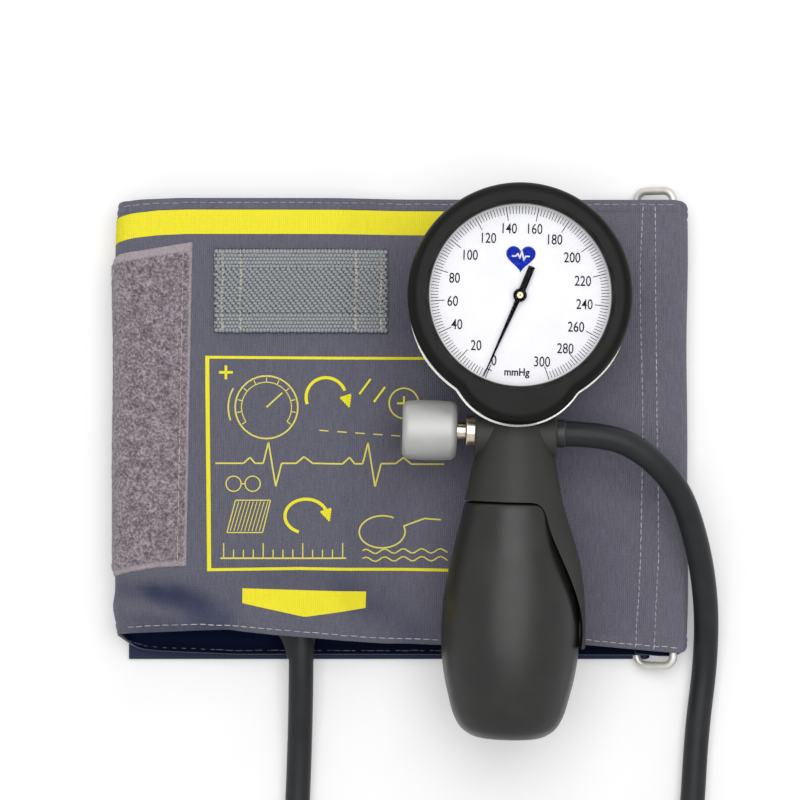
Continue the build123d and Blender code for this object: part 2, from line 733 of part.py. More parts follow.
# Lower movement plate, with two ears that carry the rocking lever
slot_x = tail_arm * cos(radians(tail_turn))
rocker_y = -rocker_arm
ear_x = rocker_shaft_half - 1.2
ear_bottom = rocker_z - rocker_shaft_radius - 0.6
with BuildPart() as movement_plate_lower:
    with BuildSketch(Plane.XY.offset(lower_plate_z)):
        Circle(lower_plate_radius)
        Circle(arbor_radius + pivot_fit, mode=Mode.SUBTRACT)
        with Locations((0, sector_y)):
            Circle(arbor_radius + pivot_fit, mode=Mode.SUBTRACT)
        with Locations((slot_x, sector_y + 0.6)):
            Rectangle(2.2, 4.6, mode=Mode.SUBTRACT)
        with PolarLocations(lower_plate_radius - 10.0, 3, 90):
            Circle(5.0, mode=Mode.SUBTRACT)
    extrude(amount=plate_thickness)
    with BuildSketch(Plane.XY.offset(ear_bottom)):
        with Locations((ear_x, rocker_y), (-ear_x, rocker_y)):
            Rectangle(1.0, 3.6)
    extrude(amount=lower_plate_z - ear_bottom)
    with BuildSketch(Plane(origin=(-rocker_shaft_half, rocker_y, rocker_z), x_dir=(0, 1, 0), z_dir=(1, 0, 0))):
        Circle(rocker_shaft_radius + pivot_fit)
    extrude(amount=2 * rocker_shaft_half, mode=Mode.SUBTRACT)
movement_plate_lower.part.label = "movement_plate_lower"
movement_plate_lower.part.location = unit_place
export_step(movement_plate_lower.part, "parts/movement_plate_lower.step")

# Upper movement plate, with the stud that holds the hairspring's outer end
with BuildPart() as movement_plate_upper:
    with BuildSketch(Plane.XY.offset(upper_plate_z)):
        with Locations((0, top_pillar_y), (pillar_x, pillar_y), (-pillar_x, pillar_y)):
            Circle(pillar_radius + 1.4)
        make_hull()
        Circle(arbor_radius + pivot_fit, mode=Mode.SUBTRACT)
        with Locations((0, sector_y)):
            Circle(arbor_radius + pivot_fit, mode=Mode.SUBTRACT)
    extrude(amount=plate_thickness)
movement_plate_upper.part.label = "movement_plate_upper"
movement_plate_upper.part.location = unit_place
export_step(movement_plate_upper.part, "parts/movement_plate_upper.step")

# Hairspring stud, a small post on the lower plate
with BuildPart() as hairspring_stud:
    with BuildSketch(Plane.XY.offset(lower_plate_z + plate_thickness)):
        with Locations((hairspring_end_x + 0.5, 0)):
            Circle(0.6)
    extrude(amount=hairspring_z + hairspring_height - lower_plate_z - plate_thickness)
    with BuildSketch(Plane.XY.offset(hairspring_z)):
        with Locations((hairspring_end_x, 0)):
            Rectangle(hairspring_strip + 0.02, 0.6)
    extrude(amount=hairspring_height, mode=Mode.SUBTRACT)
hairspring_stud.part.label = "hairspring_stud"
hairspring_stud.part.location = unit_place
export_step(hairspring_stud.part, "parts/hairspring_stud.step")

# Pillars between the plates
with BuildPart() as plate_pillars:
    with BuildSketch(Plane.XY.offset(lower_plate_z + plate_thickness)):
        with Locations((0, top_pillar_y), (pillar_x, pillar_y), (-pillar_x, pillar_y)):
            Circle(pillar_radius)
    extrude(amount=upper_plate_z - lower_plate_z - plate_thickness)
plate_pillars.part.label = "plate_pillars"
plate_pillars.part.location = unit_place
export_step(plate_pillars.part, "parts/plate_pillars.step")

# Posts that carry the lower plate over the capsule
with BuildPart() as movement_posts:
    with BuildSketch(Plane.XY.offset(case_floor)):
        with PolarLocations(post_circle, 3, 90):
            Circle(post_radius)
    extrude(amount=lower_plate_z - case_floor)
movement_posts.part.label = "movement_posts"
movement_posts.part.location = unit_place
export_step(movement_posts.part, "parts/movement_posts.step")

# Case screws: countersunk heads in the back, shanks in the posts' holes
with BuildPart() as case_screws:
    with BuildSketch(Plane.XY.offset(screw_recess)):
        with PolarLocations(post_circle, 3, 90):
            Circle(post_radius - screw_wall - cloth_gap)
    extrude(amount=case_floor - screw_recess - cloth_gap)
case_screws.part.label = "case_screws"
case_screws.part.location = unit_place
export_step(case_screws.part, "parts/case_screws.step")


def capsule_ridges(side, inset):
    """Points of a corrugated diaphragm from its middle to its rim, as radius and height."""
    ridges = [(0, side * (capsule_height / 2 - inset))]
    for step in range(6):
        wave = capsule_wave if step % 2 else 0
        ridges.append((capsule_post_radius + 2.0 + 2.4 * step,
                       side * (capsule_height / 2 - inset - wave)))
    ridges.append((capsule_radius - inset, side * 0.4))
    return ridges


# Capsule: two corrugated diaphragms joined at the rim, hollow inside
with BuildPart() as capsule:
    with BuildSketch(Plane.XZ):
        with BuildLine(Location((0, capsule_z + capsule_height / 2, 0))):
            Polyline(*capsule_ridges(-1, 0), *reversed(capsule_ridges(1, 0)), close=True)
        make_face()
        with BuildLine(Location((0, capsule_z + capsule_height / 2, 0))):
            Polyline(*capsule_ridges(-1, capsule_wall), *reversed(capsule_ridges(1, capsule_wall)),
                     close=True)
        make_face(mode=Mode.SUBTRACT)
    revolve(axis=Axis.Z)
capsule.part.label = "capsule"
capsule.part.location = unit_place
export_step(capsule.part, "parts/capsule.step")

# Capsule post: the button on the capsule that lifts the rocking lever
with BuildPart() as capsule_post:
    with BuildSketch(Plane.XY.offset(capsule_z + capsule_height)):
        Circle(capsule_post_radius)
    extrude(amount=capsule_button)
    with BuildSketch(Plane.XY.offset(capsule_z + capsule_height)):
        Circle(post_pin_radius)
    extrude(amount=capsule_post_top - capsule_z - capsule_height)
    fillet(capsule_post.faces().sort_by(Axis.Z)[-1].edges(), post_pin_radius - 0.1)
capsule_post.part.label = "capsule_post"
capsule_post.part.location = unit_place
export_step(capsule_post.part, "parts/capsule_post.step")

# Capsule stud: the foot that holds the capsule to the case and takes the air in
with BuildPart() as capsule_stud:
    with BuildSketch(Plane.XY.offset(case_floor)):
        Circle(2 * post_radius)
    extrude(amount=capsule_z - case_floor)
    with BuildSketch(Plane.XY.offset(screw_recess)):
        Circle(post_radius - pivot_fit)
    extrude(amount=case_floor - screw_recess)
capsule_stud.part.label = "capsule_stud"
capsule_stud.part.location = unit_place
export_step(capsule_stud.part, "parts/capsule_stud.step")

# Pressure tube: from the manifold's stem down and under the capsule to its stud
tube_z = (case_floor + capsule_z) / 2
with BuildPart() as pressure_tube:
    with BuildLine() as tube_line:
        FilletPolyline((0, stem_top_y + cloth_gap, axis_z), (0, stem_top_y + tube_bend + 1.0, axis_z),
                       (0, stem_top_y + tube_bend + 1.0, tube_z), (0, -2 * post_radius - cloth_gap, tube_z), radius=tube_bend)
    with BuildSketch(Plane(origin=tube_line.line @ 0, z_dir=tube_line.line % 0)):
        Circle(tube_radius)
    sweep(path=tube_line.wire())
pressure_tube.part.label = "pressure_tube"
pressure_tube.part.location = unit_place
export_step(pressure_tube.part, "parts/pressure_tube.step")

# Rocking lever: a shaft with an arm over the capsule's post and a finger behind the sector's pin
finger_y = sector_y + tail_arm * sin(radians(tail_turn)) + tail_pin_radius + rocker_gap
with BuildPart() as rocking_lever:
    with BuildSketch(Plane(origin=(-rocker_shaft_half, rocker_y, rocker_z), x_dir=(0, 1, 0), z_dir=(1, 0, 0))):
        Circle(rocker_shaft_radius)
    extrude(amount=2 * rocker_shaft_half)
    with Locations((0, rocker_y, capsule_post_top + cloth_gap)):
        Box(2.0, rocker_arm + 1.0, 1.0, align=(Align.CENTER, Align.MIN, Align.MIN))
    with Locations((0, rocker_y, capsule_post_top + cloth_gap)):
        Box(2.0, 1.6, rocker_z - capsule_post_top, align=(Align.CENTER, Align.CENTER, Align.MIN))
    with Locations((slot_x, finger_y, rocker_z)):
        Box(1.2, rocker_y - finger_y, 1.0, align=(Align.CENTER, Align.MIN, Align.CENTER))
        Box(1.2, 0.8, rocker_finger_top - rocker_z, align=(Align.CENTER, Align.MIN, Align.MIN))
rocking_lever.part.label = "rocking_lever"
rocking_lever.part.location = unit_place
export_step(rocking_lever.part, "parts/rocking_lever.step")

# Manifold: a block with a stem into the case, a spigot into the bulb and a port on each side
with BuildPart() as manifold:
    with BuildSketch(across(block_top_y)):
        Rectangle(2 * block_half_x, 2 * block_half_z)
    extrude(amount=block_top_y - block_bottom_y)
    fillet(manifold.edges().filter_by(Axis.Y), 1.2)
    with BuildSketch(across(block_bottom_y)):
        Circle(spigot_radius)
    extrude(amount=block_bottom_y - spigot_end_y)
    with BuildSketch(across(stem_top_y)):
        Circle(stem_radius)
    extrude(amount=stem_top_y - block_top_y)
    with BuildSketch(sideways(collar_inner_x + cloth_gap, 1)):
        Circle(boss_radius)
    extrude(amount=-2 * collar_inner_x - 2 * cloth_gap)
    with BuildSketch(across(stem_top_y)):
        Circle(air_bore)
    extrude(amount=stem_top_y - spigot_end_y, mode=Mode.SUBTRACT)
    with BuildSketch(sideways(collar_inner_x, 1)):
        Circle(side_bore)
    extrude(amount=4.0, mode=Mode.SUBTRACT)
    with BuildSketch(sideways(collar_inner_x, 1)):
        Circle(needle_radius + 0.25)
    extrude(amount=7.5, mode=Mode.SUBTRACT)
    with BuildSketch(sideways(-collar_inner_x, -1)):
        Circle(side_bore)
    extrude(amount=5.0, mode=Mode.SUBTRACT)
    with BuildSketch(sideways(-collar_inner_x, -1)):
        Circle(air_bore / 2)
    extrude(amount=-2 * collar_inner_x, mode=Mode.SUBTRACT)
    with BuildSketch(across(spigot_end_y + outlet_cage_length)):
        Circle(outlet_cage_radius + 0.02)
    extrude(amount=outlet_cage_length, mode=Mode.SUBTRACT)
manifold.part.label = "manifold"
manifold.part.location = unit_place
export_step(manifold.part, "parts/manifold.step")

# Manifold nut, inside the case
nut_top_y = -chin_drop - (chin_radius - case_inset - case_wall) + 0.9
with BuildPart() as manifold_nut:
    with BuildSketch(across(nut_top_y + nut_thickness)):
        RegularPolygon(nut_size / 2, 6, major_radius=False)
        Circle(stem_radius + 0.02, mode=Mode.SUBTRACT)
    extrude(amount=nut_thickness)
manifold_nut.part.label = "manifold_nut"
manifold_nut.part.location = unit_place
export_step(manifold_nut.part, "parts/manifold_nut.step")

# Handle shell: a cross tube for the valve and hose, a bottle-shaped cover over the bulb's shoulder,
# and a palm guard down the bulb's right side
cover_points = [(r + guard_clear + guard_thickness, y) for y, r in bulb_profile[2:6]]
inner_points = [(r + guard_clear, y) for y, r in bulb_profile[:6]]
guard_edge_points = [(5.2, cover_end_y - 0.1), (7.6, cover_end_y - 1.0), (9.0, cover_end_y - 3.0),
                     (9.9, cover_end_y - 5.9), (13.9, cover_end_y - 15.6), (16.8, cover_end_y - 21.8),
                     (20.3, cover_end_y - 31.4), (20.9, guard_end_y + 1.0)]
with BuildPart() as cross_tube:
    with BuildSketch(Plane(origin=(-neck_radius, cross_tube_y, axis_z), x_dir=(0, 1, 0), z_dir=(1, 0, 0))):
        Circle(cross_tube_radius)
    extrude(amount=2 * neck_radius)
    fillet(cross_tube.faces().filter_by(Axis.X).edges(), cross_tube_edge)
neck_top_y, neck_top_radius = neck_profile[0]
room_top_y = neck_top_y - 2 * neck_wall
with BuildPart() as handle_shell:
    with BuildSketch(Plane.XY.offset(axis_z)):
        with BuildLine():
            Spline(*[(r, y) for y, r in neck_profile], (cover_end_radius, cover_end_y), *cover_points,
                   tangents=((0.8, -1), (-0.2, -1)))
            Polyline(cover_points[-1], (0, cover_points[-1][1]), (0, neck_top_y),
                     (neck_top_radius, neck_top_y))
        make_face()
    revolve(axis=Axis((0, 0, axis_z), (0, 1, 0)))
    add(cross_tube.part)
    # Hollow inside: room for the manifold, and for the bulb with its clearance
    with BuildSketch(Plane(origin=(neck_wall - neck_radius, cross_tube_y, axis_z),
                           x_dir=(0, 1, 0), z_dir=(1, 0, 0))):
        Circle(cross_tube_radius - neck_wall)
    extrude(amount=2 * neck_radius - 2 * neck_wall, mode=Mode.SUBTRACT)
    with BuildSketch(Plane.XY.offset(axis_z)):
        with BuildLine():
            Polyline((0, room_top_y), (neck_top_radius - neck_wall, room_top_y),
                     (neck_profile[2][1] - neck_wall, neck_profile[2][0]), inner_points[0])
            Spline(*inner_points, tangents=((0.2, -1), (-0.2, -1)))
            Polyline(inner_points[-1], (0, inner_points[-1][1]), (0, room_top_y))
        make_face()
    revolve(axis=Axis((0, 0, axis_z), (0, 1, 0)), mode=Mode.SUBTRACT)
    # The cover ends in a straight edge, and the guard runs on below it
    with BuildSketch():
        with BuildLine():
            Polyline((guard_edge_points[0][0], cover_end_y), (-2 * cover_end_radius, cover_end_y),
                     (-2 * cover_end_radius, 1.2 * guard_end_y), (2 * cover_end_radius, 1.2 * guard_end_y),
                     (2 * cover_end_radius, guard_end_y + 1.0), guard_edge_points[-1])
            Spline(*reversed(guard_edge_points))
            Line(guard_edge_points[0], (guard_edge_points[0][0], cover_end_y))
        make_face()
    extrude(amount=3 * axis_z, both=True, mode=Mode.SUBTRACT)
    # The chin and the trim band stand in the neck's end
    with BuildSketch():
        add(head_outline(neck_clear + trim_proud))
    extrude(amount=3 * axis_z, both=True, mode=Mode.SUBTRACT)
    with BuildSketch(sideways(-neck_radius, 1)):
        Circle(boss_radius + 0.1)
    extrude(amount=2 * neck_radius, mode=Mode.SUBTRACT)
handle_shell.part.label = "handle_shell"
handle_shell.part.location = unit_place
export_step(handle_shell.part, "parts/handle_shell.step")

# Valve collar: a nickel washer on the neck, with a spigot in the manifold's left port
with BuildPart() as valve_collar:
    with BuildSketch(sideways(collar_outer_x, 1)):
        Circle(collar_radius)
    extrude(amount=collar_inner_x - collar_outer_x)
    fillet(valve_collar.faces().sort_by(Axis.X)[0].edges(), 0.6)
    with BuildSketch(sideways(collar_inner_x, 1)):
        Circle(side_bore - 0.02)
    extrude(amount=2.0)
    with BuildSketch(sideways(collar_outer_x, 1)):
        Circle(needle_radius + needle_fit)
    extrude(amount=6.0, mode=Mode.SUBTRACT)
valve_collar.part.label = "valve_collar"
valve_collar.part.location = unit_place
export_step(valve_collar.part, "parts/valve_collar.step")

# Valve seal: a rubber ring round the needle, behind the collar's spigot
with BuildPart() as valve_seal:
    with Locations(Location(Plane(origin=(collar_inner_x + 2.8, valve_y, axis_z), z_dir=(1, 0, 0)))):
        Torus(needle_radius + seal_wire + 0.02, seal_wire)
valve_seal.part.label = "valve_seal"
valve_seal.part.location = unit_place
export_step(valve_seal.part, "parts/valve_seal.step")

# Valve needle: a thick stem outside the collar, a thin needle inside, and a pointed tip
needle_tip_x = collar_inner_x + needle_length
with BuildPart() as valve_needle:
    with BuildSketch(sideways(collar_outer_x - cloth_gap, -1)):
        Circle(valve_stem_radius)
    extrude(amount=collar_outer_x - cloth_gap - knob_inner_x)
    with BuildSketch(sideways(knob_inner_x, -1)):
        Circle(valve_stem_radius - 0.6)
    extrude(amount=knob_inner_x - knob_outer_x - 4.0)
    with BuildSketch(sideways(collar_outer_x - cloth_gap, 1)):
        Circle(needle_radius)
    extrude(amount=needle_tip_x - collar_outer_x + cloth_gap)
    chamfer(valve_needle.faces().sort_by(Axis.X)[-1].edges(), 0.6)
valve_needle.part.label = "valve_needle"
valve_needle.part.location = unit_place
export_step(valve_needle.part, "parts/valve_needle.step")

# Valve knob: a crowned barrel with rounded ends, bored for the needle's stem
knob_face_x = knob_inner_x - cloth_gap
knob_middle_x = (knob_face_x + knob_outer_x) / 2
knob_end_radius = knob_radius - knob_crown
with BuildPart() as valve_knob:
    with BuildSketch(Plane.XY.offset(axis_z)):
        with BuildLine():
            ThreePointArc((knob_face_x, valve_y + knob_end_radius), (knob_middle_x, valve_y + knob_radius),
                          (knob_outer_x, valve_y + knob_end_radius))
            Polyline((knob_outer_x, valve_y + knob_end_radius), (knob_outer_x, valve_y),
                     (knob_face_x, valve_y), (knob_face_x, valve_y + knob_end_radius))
        make_face()
    revolve(axis=Axis((0, valve_y, axis_z), (1, 0, 0)))
    fillet(valve_knob.faces().filter_by(Axis.X).edges(), knob_edge)
    with BuildSketch(sideways(knob_inner_x, -1)):
        Circle(valve_stem_radius - 0.6 + pivot_fit)
    extrude(amount=knob_inner_x - knob_outer_x - 3.9, mode=Mode.SUBTRACT)
valve_knob.part.label = "valve_knob"
valve_knob.part.location = unit_place
export_step(valve_knob.part, "parts/valve_knob.step")

# Hose connector: a black socket on the neck, with a spigot inside and a barb for the hose
with BuildPart() as hose_connector:
    with BuildSketch(sideways(-collar_inner_x, 1)):
        Circle(connector_radius)
    extrude(amount=connector_outer_x + collar_inner_x)
    fillet(hose_connector.faces().sort_by(Axis.X)[-1].edges(), 0.6)
    with BuildSketch(sideways(-collar_inner_x - connector_spigot, 1)):
        Circle(side_bore - 0.02)
    extrude(amount=connector_spigot)
    with BuildSketch(sideways(connector_outer_x, 1)):
        Circle(hose_bore / 2 - barb_fit)
    extrude(amount=barb_length)
    with BuildSketch(sideways(-collar_inner_x - connector_spigot, 1)):
        Circle(hose_bore / 4)
    extrude(amount=2 * connector_outer_x, mode=Mode.SUBTRACT)
hose_connector.part.label = "hose_connector"
hose_connector.part.location = unit_place
export_step(hose_connector.part, "parts/hose_connector.step")

# Outlet valve: a cage in the spigot's end, with a flap disc that lifts towards the manifold
cage_top_y = spigot_end_y + outlet_cage_length
with BuildPart() as outlet_valve_cage:
    with BuildSketch(across(cage_top_y - outlet_seat)):
        Circle(outlet_cage_radius)
        Circle(seat_hole, mode=Mode.SUBTRACT)
    extrude(amount=outlet_cage_length - outlet_seat)
outlet_valve_cage.part.label = "outlet_valve_cage"
outlet_valve_cage.part.location = unit_place
export_step(outlet_valve_cage.part, "parts/outlet_valve_cage.step")

with BuildPart() as outlet_valve_disc:
    with BuildSketch(across(cage_top_y - outlet_seat + cloth_gap + flap_thickness)):
        Circle(outlet_cage_radius - 0.6)
    extrude(amount=flap_thickness)
outlet_valve_disc.part.label = "outlet_valve_disc"
outlet_valve_disc.part.location = unit_place
export_step(outlet_valve_disc.part, "parts/outlet_valve_disc.step")

# Bulb: a hollow rubber body of revolution, open at its neck and at its foot
cavity_top_y = spigot_end_y - 2.0
cavity_top_radius = spigot_radius + bulb_wall
cavity_end_radius = intake_radius + 4.0
cavity_profile = [(r - bulb_wall, y) for y, r in bulb_profile[2:-1]]
cavity_end_y = bulb_end_y + bulb_wall + 2.0
with BuildPart() as bulb:
    with BuildSketch(Plane.XY.offset(axis_z)):
        with BuildLine():
            Line((0, neck_end_y), (bulb_profile[0][1], neck_end_y))
            outside = Spline(*[(r, y) for y, r in bulb_profile], tangents=((0.2, -1), (-0.6, -1)))
            RadiusArc(outside @ 1, (bulb_profile[-1][1] - bulb_end_corner, bulb_end_y), 2 * bulb_end_corner)
            Line((bulb_profile[-1][1] - bulb_end_corner, bulb_end_y), (0, bulb_end_y))
            Line((0, bulb_end_y), (0, neck_end_y))
        make_face()
        with BuildLine():
            Line((0, cavity_top_y), (cavity_top_radius, cavity_top_y))
            Spline((cavity_top_radius, cavity_top_y), *cavity_profile, (cavity_end_radius, cavity_end_y),
                   tangents=((1, -0.6), (-1, -0.3)))
            Line((cavity_end_radius, cavity_end_y), (0, cavity_end_y))
            Line((0, cavity_end_y), (0, cavity_top_y))
        make_face(mode=Mode.SUBTRACT)
        # The shoulder is sunk a little where the cover ends, so that a shadow line shows there
        with BuildLine():
            Polyline((cover_end_radius, cover_end_y + shoulder_step),
                     (bulb_shape[1][1] - shoulder_groove, cover_end_y + shoulder_step),
                     (bulb_shape[1][1] - shoulder_groove, cover_end_y - 0.3),
                     (bulb_shape[1][1] + shoulder_groove, cover_end_y - shoulder_step - 0.3),
                     (cover_end_radius + shoulder_groove, cover_end_y + shoulder_step), close=True)
        make_face(mode=Mode.SUBTRACT)
    revolve(axis=Axis((0, 0, axis_z), (0, 1, 0)))
    with BuildSketch(across(neck_end_y)):
        Circle(spigot_radius + cloth_gap)
    extrude(amount=neck_end_y - cavity_top_y + 1.0, mode=Mode.SUBTRACT)
    with BuildSketch(across(bulb_end_y + intake_length)):
        Circle(intake_radius + cloth_gap)
    extrude(amount=intake_length, mode=Mode.SUBTRACT)
    with BuildSketch(across(bulb_end_y + intake_flange)):
        Circle(intake_flange_radius + cloth_gap)
    extrude(amount=intake_flange, mode=Mode.SUBTRACT)
bulb.part.label = "bulb"
bulb.part.location = unit_place
export_step(bulb.part, "parts/bulb.step")

# Bulb washer: between the manifold's block and the bulb's neck
with BuildPart() as bulb_washer:
    with BuildSketch(across(block_bottom_y - cloth_gap)):
        Circle(washer_radius)
        Circle(spigot_radius + cloth_gap, mode=Mode.SUBTRACT)
    extrude(amount=block_bottom_y - neck_end_y - 2 * cloth_gap)
bulb_washer.part.label = "bulb_washer"
bulb_washer.part.location = unit_place
export_step(bulb_washer.part, "parts/bulb_washer.step")

# Intake valve: a metal plug in the bulb's foot, with a seat, a loose flap disc and a filter
intake_top_y = bulb_end_y + intake_length
seat_y = bulb_end_y + intake_seat
with BuildPart() as intake_valve_body:
    with BuildSketch(across(bulb_end_y + intake_flange)):
        Circle(intake_flange_radius)
    extrude(amount=intake_flange)
    with BuildSketch(across(intake_top_y)):
        Circle(intake_radius)
    extrude(amount=intake_length)
    with BuildSketch(across(intake_top_y - 1.0)):
        Circle(intake_bore)
    extrude(amount=intake_top_y - 1.0 - seat_y, mode=Mode.SUBTRACT)
    with BuildSketch(across(intake_top_y)):
        Circle(seat_hole)
    extrude(amount=intake_length, mode=Mode.SUBTRACT)
    with BuildSketch(across(seat_y - 1.4)):
        Circle(intake_bore)
    extrude(amount=seat_y - 1.4 - bulb_end_y, mode=Mode.SUBTRACT)
intake_valve_body.part.label = "intake_valve_body"
intake_valve_body.part.location = unit_place
export_step(intake_valve_body.part, "parts/intake_valve_body.step")

with BuildPart() as intake_valve_disc:
    with BuildSketch(across(seat_y + cloth_gap + flap_thickness)):
        Circle(intake_bore - 0.4)
    extrude(amount=flap_thickness)
intake_valve_disc.part.label = "intake_valve_disc"
intake_valve_disc.part.location = unit_place
export_step(intake_valve_disc.part, "parts/intake_valve_disc.step")

with BuildPart() as intake_filter:
    with BuildSketch(across(bulb_end_y + 1.6)):
        Circle(intake_bore - 0.03)
        with GridLocations(1.6, 1.6, 3, 3):
            Circle(0.4, mode=Mode.SUBTRACT)
    extrude(amount=0.8)
intake_filter.part.label = "intake_filter"
intake_filter.part.location = unit_place
export_step(intake_filter.part, "parts/intake_filter.step")

# Hose: straight runs joined by tangent arcs, from the gauge's connector, down past the cuff's
# lower right corner, round a wide turn on the table and back up into the sleeve, to the port
hose_z = hose_diameter / 2 + cloth_gap
exit_turn = radians(unit_turn)
exit_point = (unit_x + connector_outer_x * cos(exit_turn) - valve_y * sin(exit_turn),
              unit_y + connector_outer_x * sin(exit_turn) + valve_y * cos(exit_turn),
              unit_z + axis_z)
hose_lead = 12.7
lead_point = (exit_point[0] + hose_lead * cos(exit_turn), exit_point[1] + hose_lead * sin(exit_turn),
              exit_point[2])
port_end = (port_x, port_y - port_reach, port_z)
hose_points = [
    exit_point, lead_point, (73.9, 2.6, 30.4), (84.3, -7.9, 26.4), (90.6, -24.7, 18.6), (94.2, -42.6, 10.2),
    (94.6, -61.9, hose_z), (91.7, -84.0, hose_z), (90.2, -112.0, hose_z), (86.0, -142.0, hose_z),
    (70.0, -168.0, hose_z), (43.0, -184.0, hose_z), (11.0, -184.5, hose_z), (-15.0, -168.5, hose_z),
    (-29.0, -142.0, hose_z), (-31.4, -114.0, hose_z), (-30.4, -91.0, hose_z + 0.6),
    (-29.9, -74.0, port_z - 2.0), (-29.7, -60.0, port_z), port_end]


def arc_radii(points):
    """The largest arc that each corner's two runs allow, and the arcs' and runs' whole length."""
    radii = []
    length = 0
    for before, here, after in zip(points, points[1:], points[2:]):
        run_in = Vector(*here) - Vector(*before)
        run_out = Vector(*after) - Vector(*here)
        half_turn = radians(run_in.get_angle(run_out)) / 2
        radius = 0.45 * min(run_in.length, run_out.length) / tan(half_turn)
        radii.append(radius)
        length += 2 * radius * (half_turn - tan(half_turn))
    for start, end in zip(points, points[1:]):
        length += (Vector(*end) - Vector(*start)).length
    return radii, length


hose_radii, hose_length = arc_radii(hose_points)
with BuildPart() as hose:
    with BuildLine() as hose_line:
        FilletPolyline(*hose_points, radius=hose_radii)
    with BuildSketch(Plane(origin=hose_line.line @ 0, z_dir=hose_line.line % 0)):
        Circle(hose_diameter / 2)
        Circle(hose_bore / 2, mode=Mode.SUBTRACT)
    sweep(path=hose_line.wire())
hose.part.label = "hose"
export_step(hose.part, "parts/hose.step")

hose_section = pi / 4 * (hose_diameter ** 2 - hose_bore ** 2)
print("hose radii", [round(radius, 1) for radius in hose_radii])
print("hose length", round(hose_length, 1), "volume", round(hose.part.volume, 1),
      "section x length", round(hose_section * hose_length, 1))
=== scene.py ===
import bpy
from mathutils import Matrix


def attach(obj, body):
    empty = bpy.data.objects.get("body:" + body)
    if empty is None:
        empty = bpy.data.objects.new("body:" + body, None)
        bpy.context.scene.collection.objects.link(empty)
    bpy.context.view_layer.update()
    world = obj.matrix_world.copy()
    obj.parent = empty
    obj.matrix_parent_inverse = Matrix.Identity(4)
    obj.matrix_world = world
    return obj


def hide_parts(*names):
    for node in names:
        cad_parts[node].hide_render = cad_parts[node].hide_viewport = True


bl_info = {
    "name": "Palm Gauge and Arm Cuff",
    "version": (1, 0, 0),
    "blender": (4, 5, 0),
    "location": "View3D > Sidebar > Arm Cuff",
    "description": "Dresses the packed model of a palm-held pressure gauge that lies on its folded cuff",
    "category": "Object",
}

import random
from bisect import bisect_right
from math import atan2, cos, exp, pi, radians, sin, tan

import bpy
from bpy.props import FloatProperty, FloatVectorProperty, IntProperty, PointerProperty
from mathutils import Matrix, Vector

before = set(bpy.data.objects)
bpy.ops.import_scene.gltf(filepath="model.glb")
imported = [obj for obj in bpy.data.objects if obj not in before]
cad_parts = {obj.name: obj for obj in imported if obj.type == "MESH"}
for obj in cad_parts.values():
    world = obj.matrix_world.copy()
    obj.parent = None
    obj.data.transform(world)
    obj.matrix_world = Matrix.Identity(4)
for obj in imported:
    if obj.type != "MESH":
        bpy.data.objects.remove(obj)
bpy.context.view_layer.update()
MM = 0.001

# The gauge unit's own frame: the pointer's axis at x 0, y 0, its back at z 0. Its heights are in mm.
UNIT_TURN = 1.5
UNIT = Matrix.Translation((0.0361, 0.0493, 0.0109)) @ Matrix.Rotation(radians(-UNIT_TURN), 4, "Z")
AXIS_Z = 20.9
DIAL_FACE_Z = 27.65
LENS_TOP_Z = 31.75
# Turns a piece spun round +Z so that it runs down the handle, towards -Y
DOWN_HANDLE = UNIT @ Matrix.Translation((0, 0, AXIS_Z * MM)) @ Matrix.Rotation(radians(90), 4, "X")

# The dial's scale: the heading of its 0 and its sweep in degrees, and the outer ends of its ticks in mm
SCALE_START = 248.8
SCALE_SWEEP = 318.2
TICK_RADIUS = 26.5
HEART_POINTS = 48
HEART_SIZE = 0.275

# The point that the camera looks at, the table's reach and height in metres, its own glow where it is
# seen, and the second lamp's share of the first lamp's power
VIEW_CENTRE = (0.0005, 0.0182)
TABLE_REACH = 4
TABLE_Z = -0.0002
TABLE_GLOW = 0.18
TOP_LAMP_SHARE = 0.12

# The hose, in metres, with its line from the gauge's socket to the port in the cuff
HOSE_DIAMETER = 0.0076
BOOT_PLACE = (-0.0297, -0.0465, 0.0101)
HOSE_EXIT = (0.050027, 0.008121, 0.0318)
HOSE_POINTS = [
    HOSE_EXIT, (0.062722, 0.007789, 0.0318), (0.0739, 0.0026, 0.0304), (0.0843, -0.0079, 0.0264),
    (0.0906, -0.0247, 0.0186), (0.0942, -0.0426, 0.0102), (0.0946, -0.0619, 0.00385),
    (0.0917, -0.084, 0.00385), (0.0902, -0.112, 0.00385), (0.086, -0.142, 0.00385),
    (0.07, -0.168, 0.00385), (0.043, -0.184, 0.00385), (0.011, -0.1845, 0.00385),
    (-0.015, -0.1685, 0.00385), (-0.029, -0.142, 0.00385), (-0.0314, -0.114, 0.00385),
    (-0.0304, -0.091, 0.00445), (-0.0299, -0.074, 0.0081), (-0.0297, -0.06, 0.0101),
    (-0.0297, -0.048, 0.0101)]

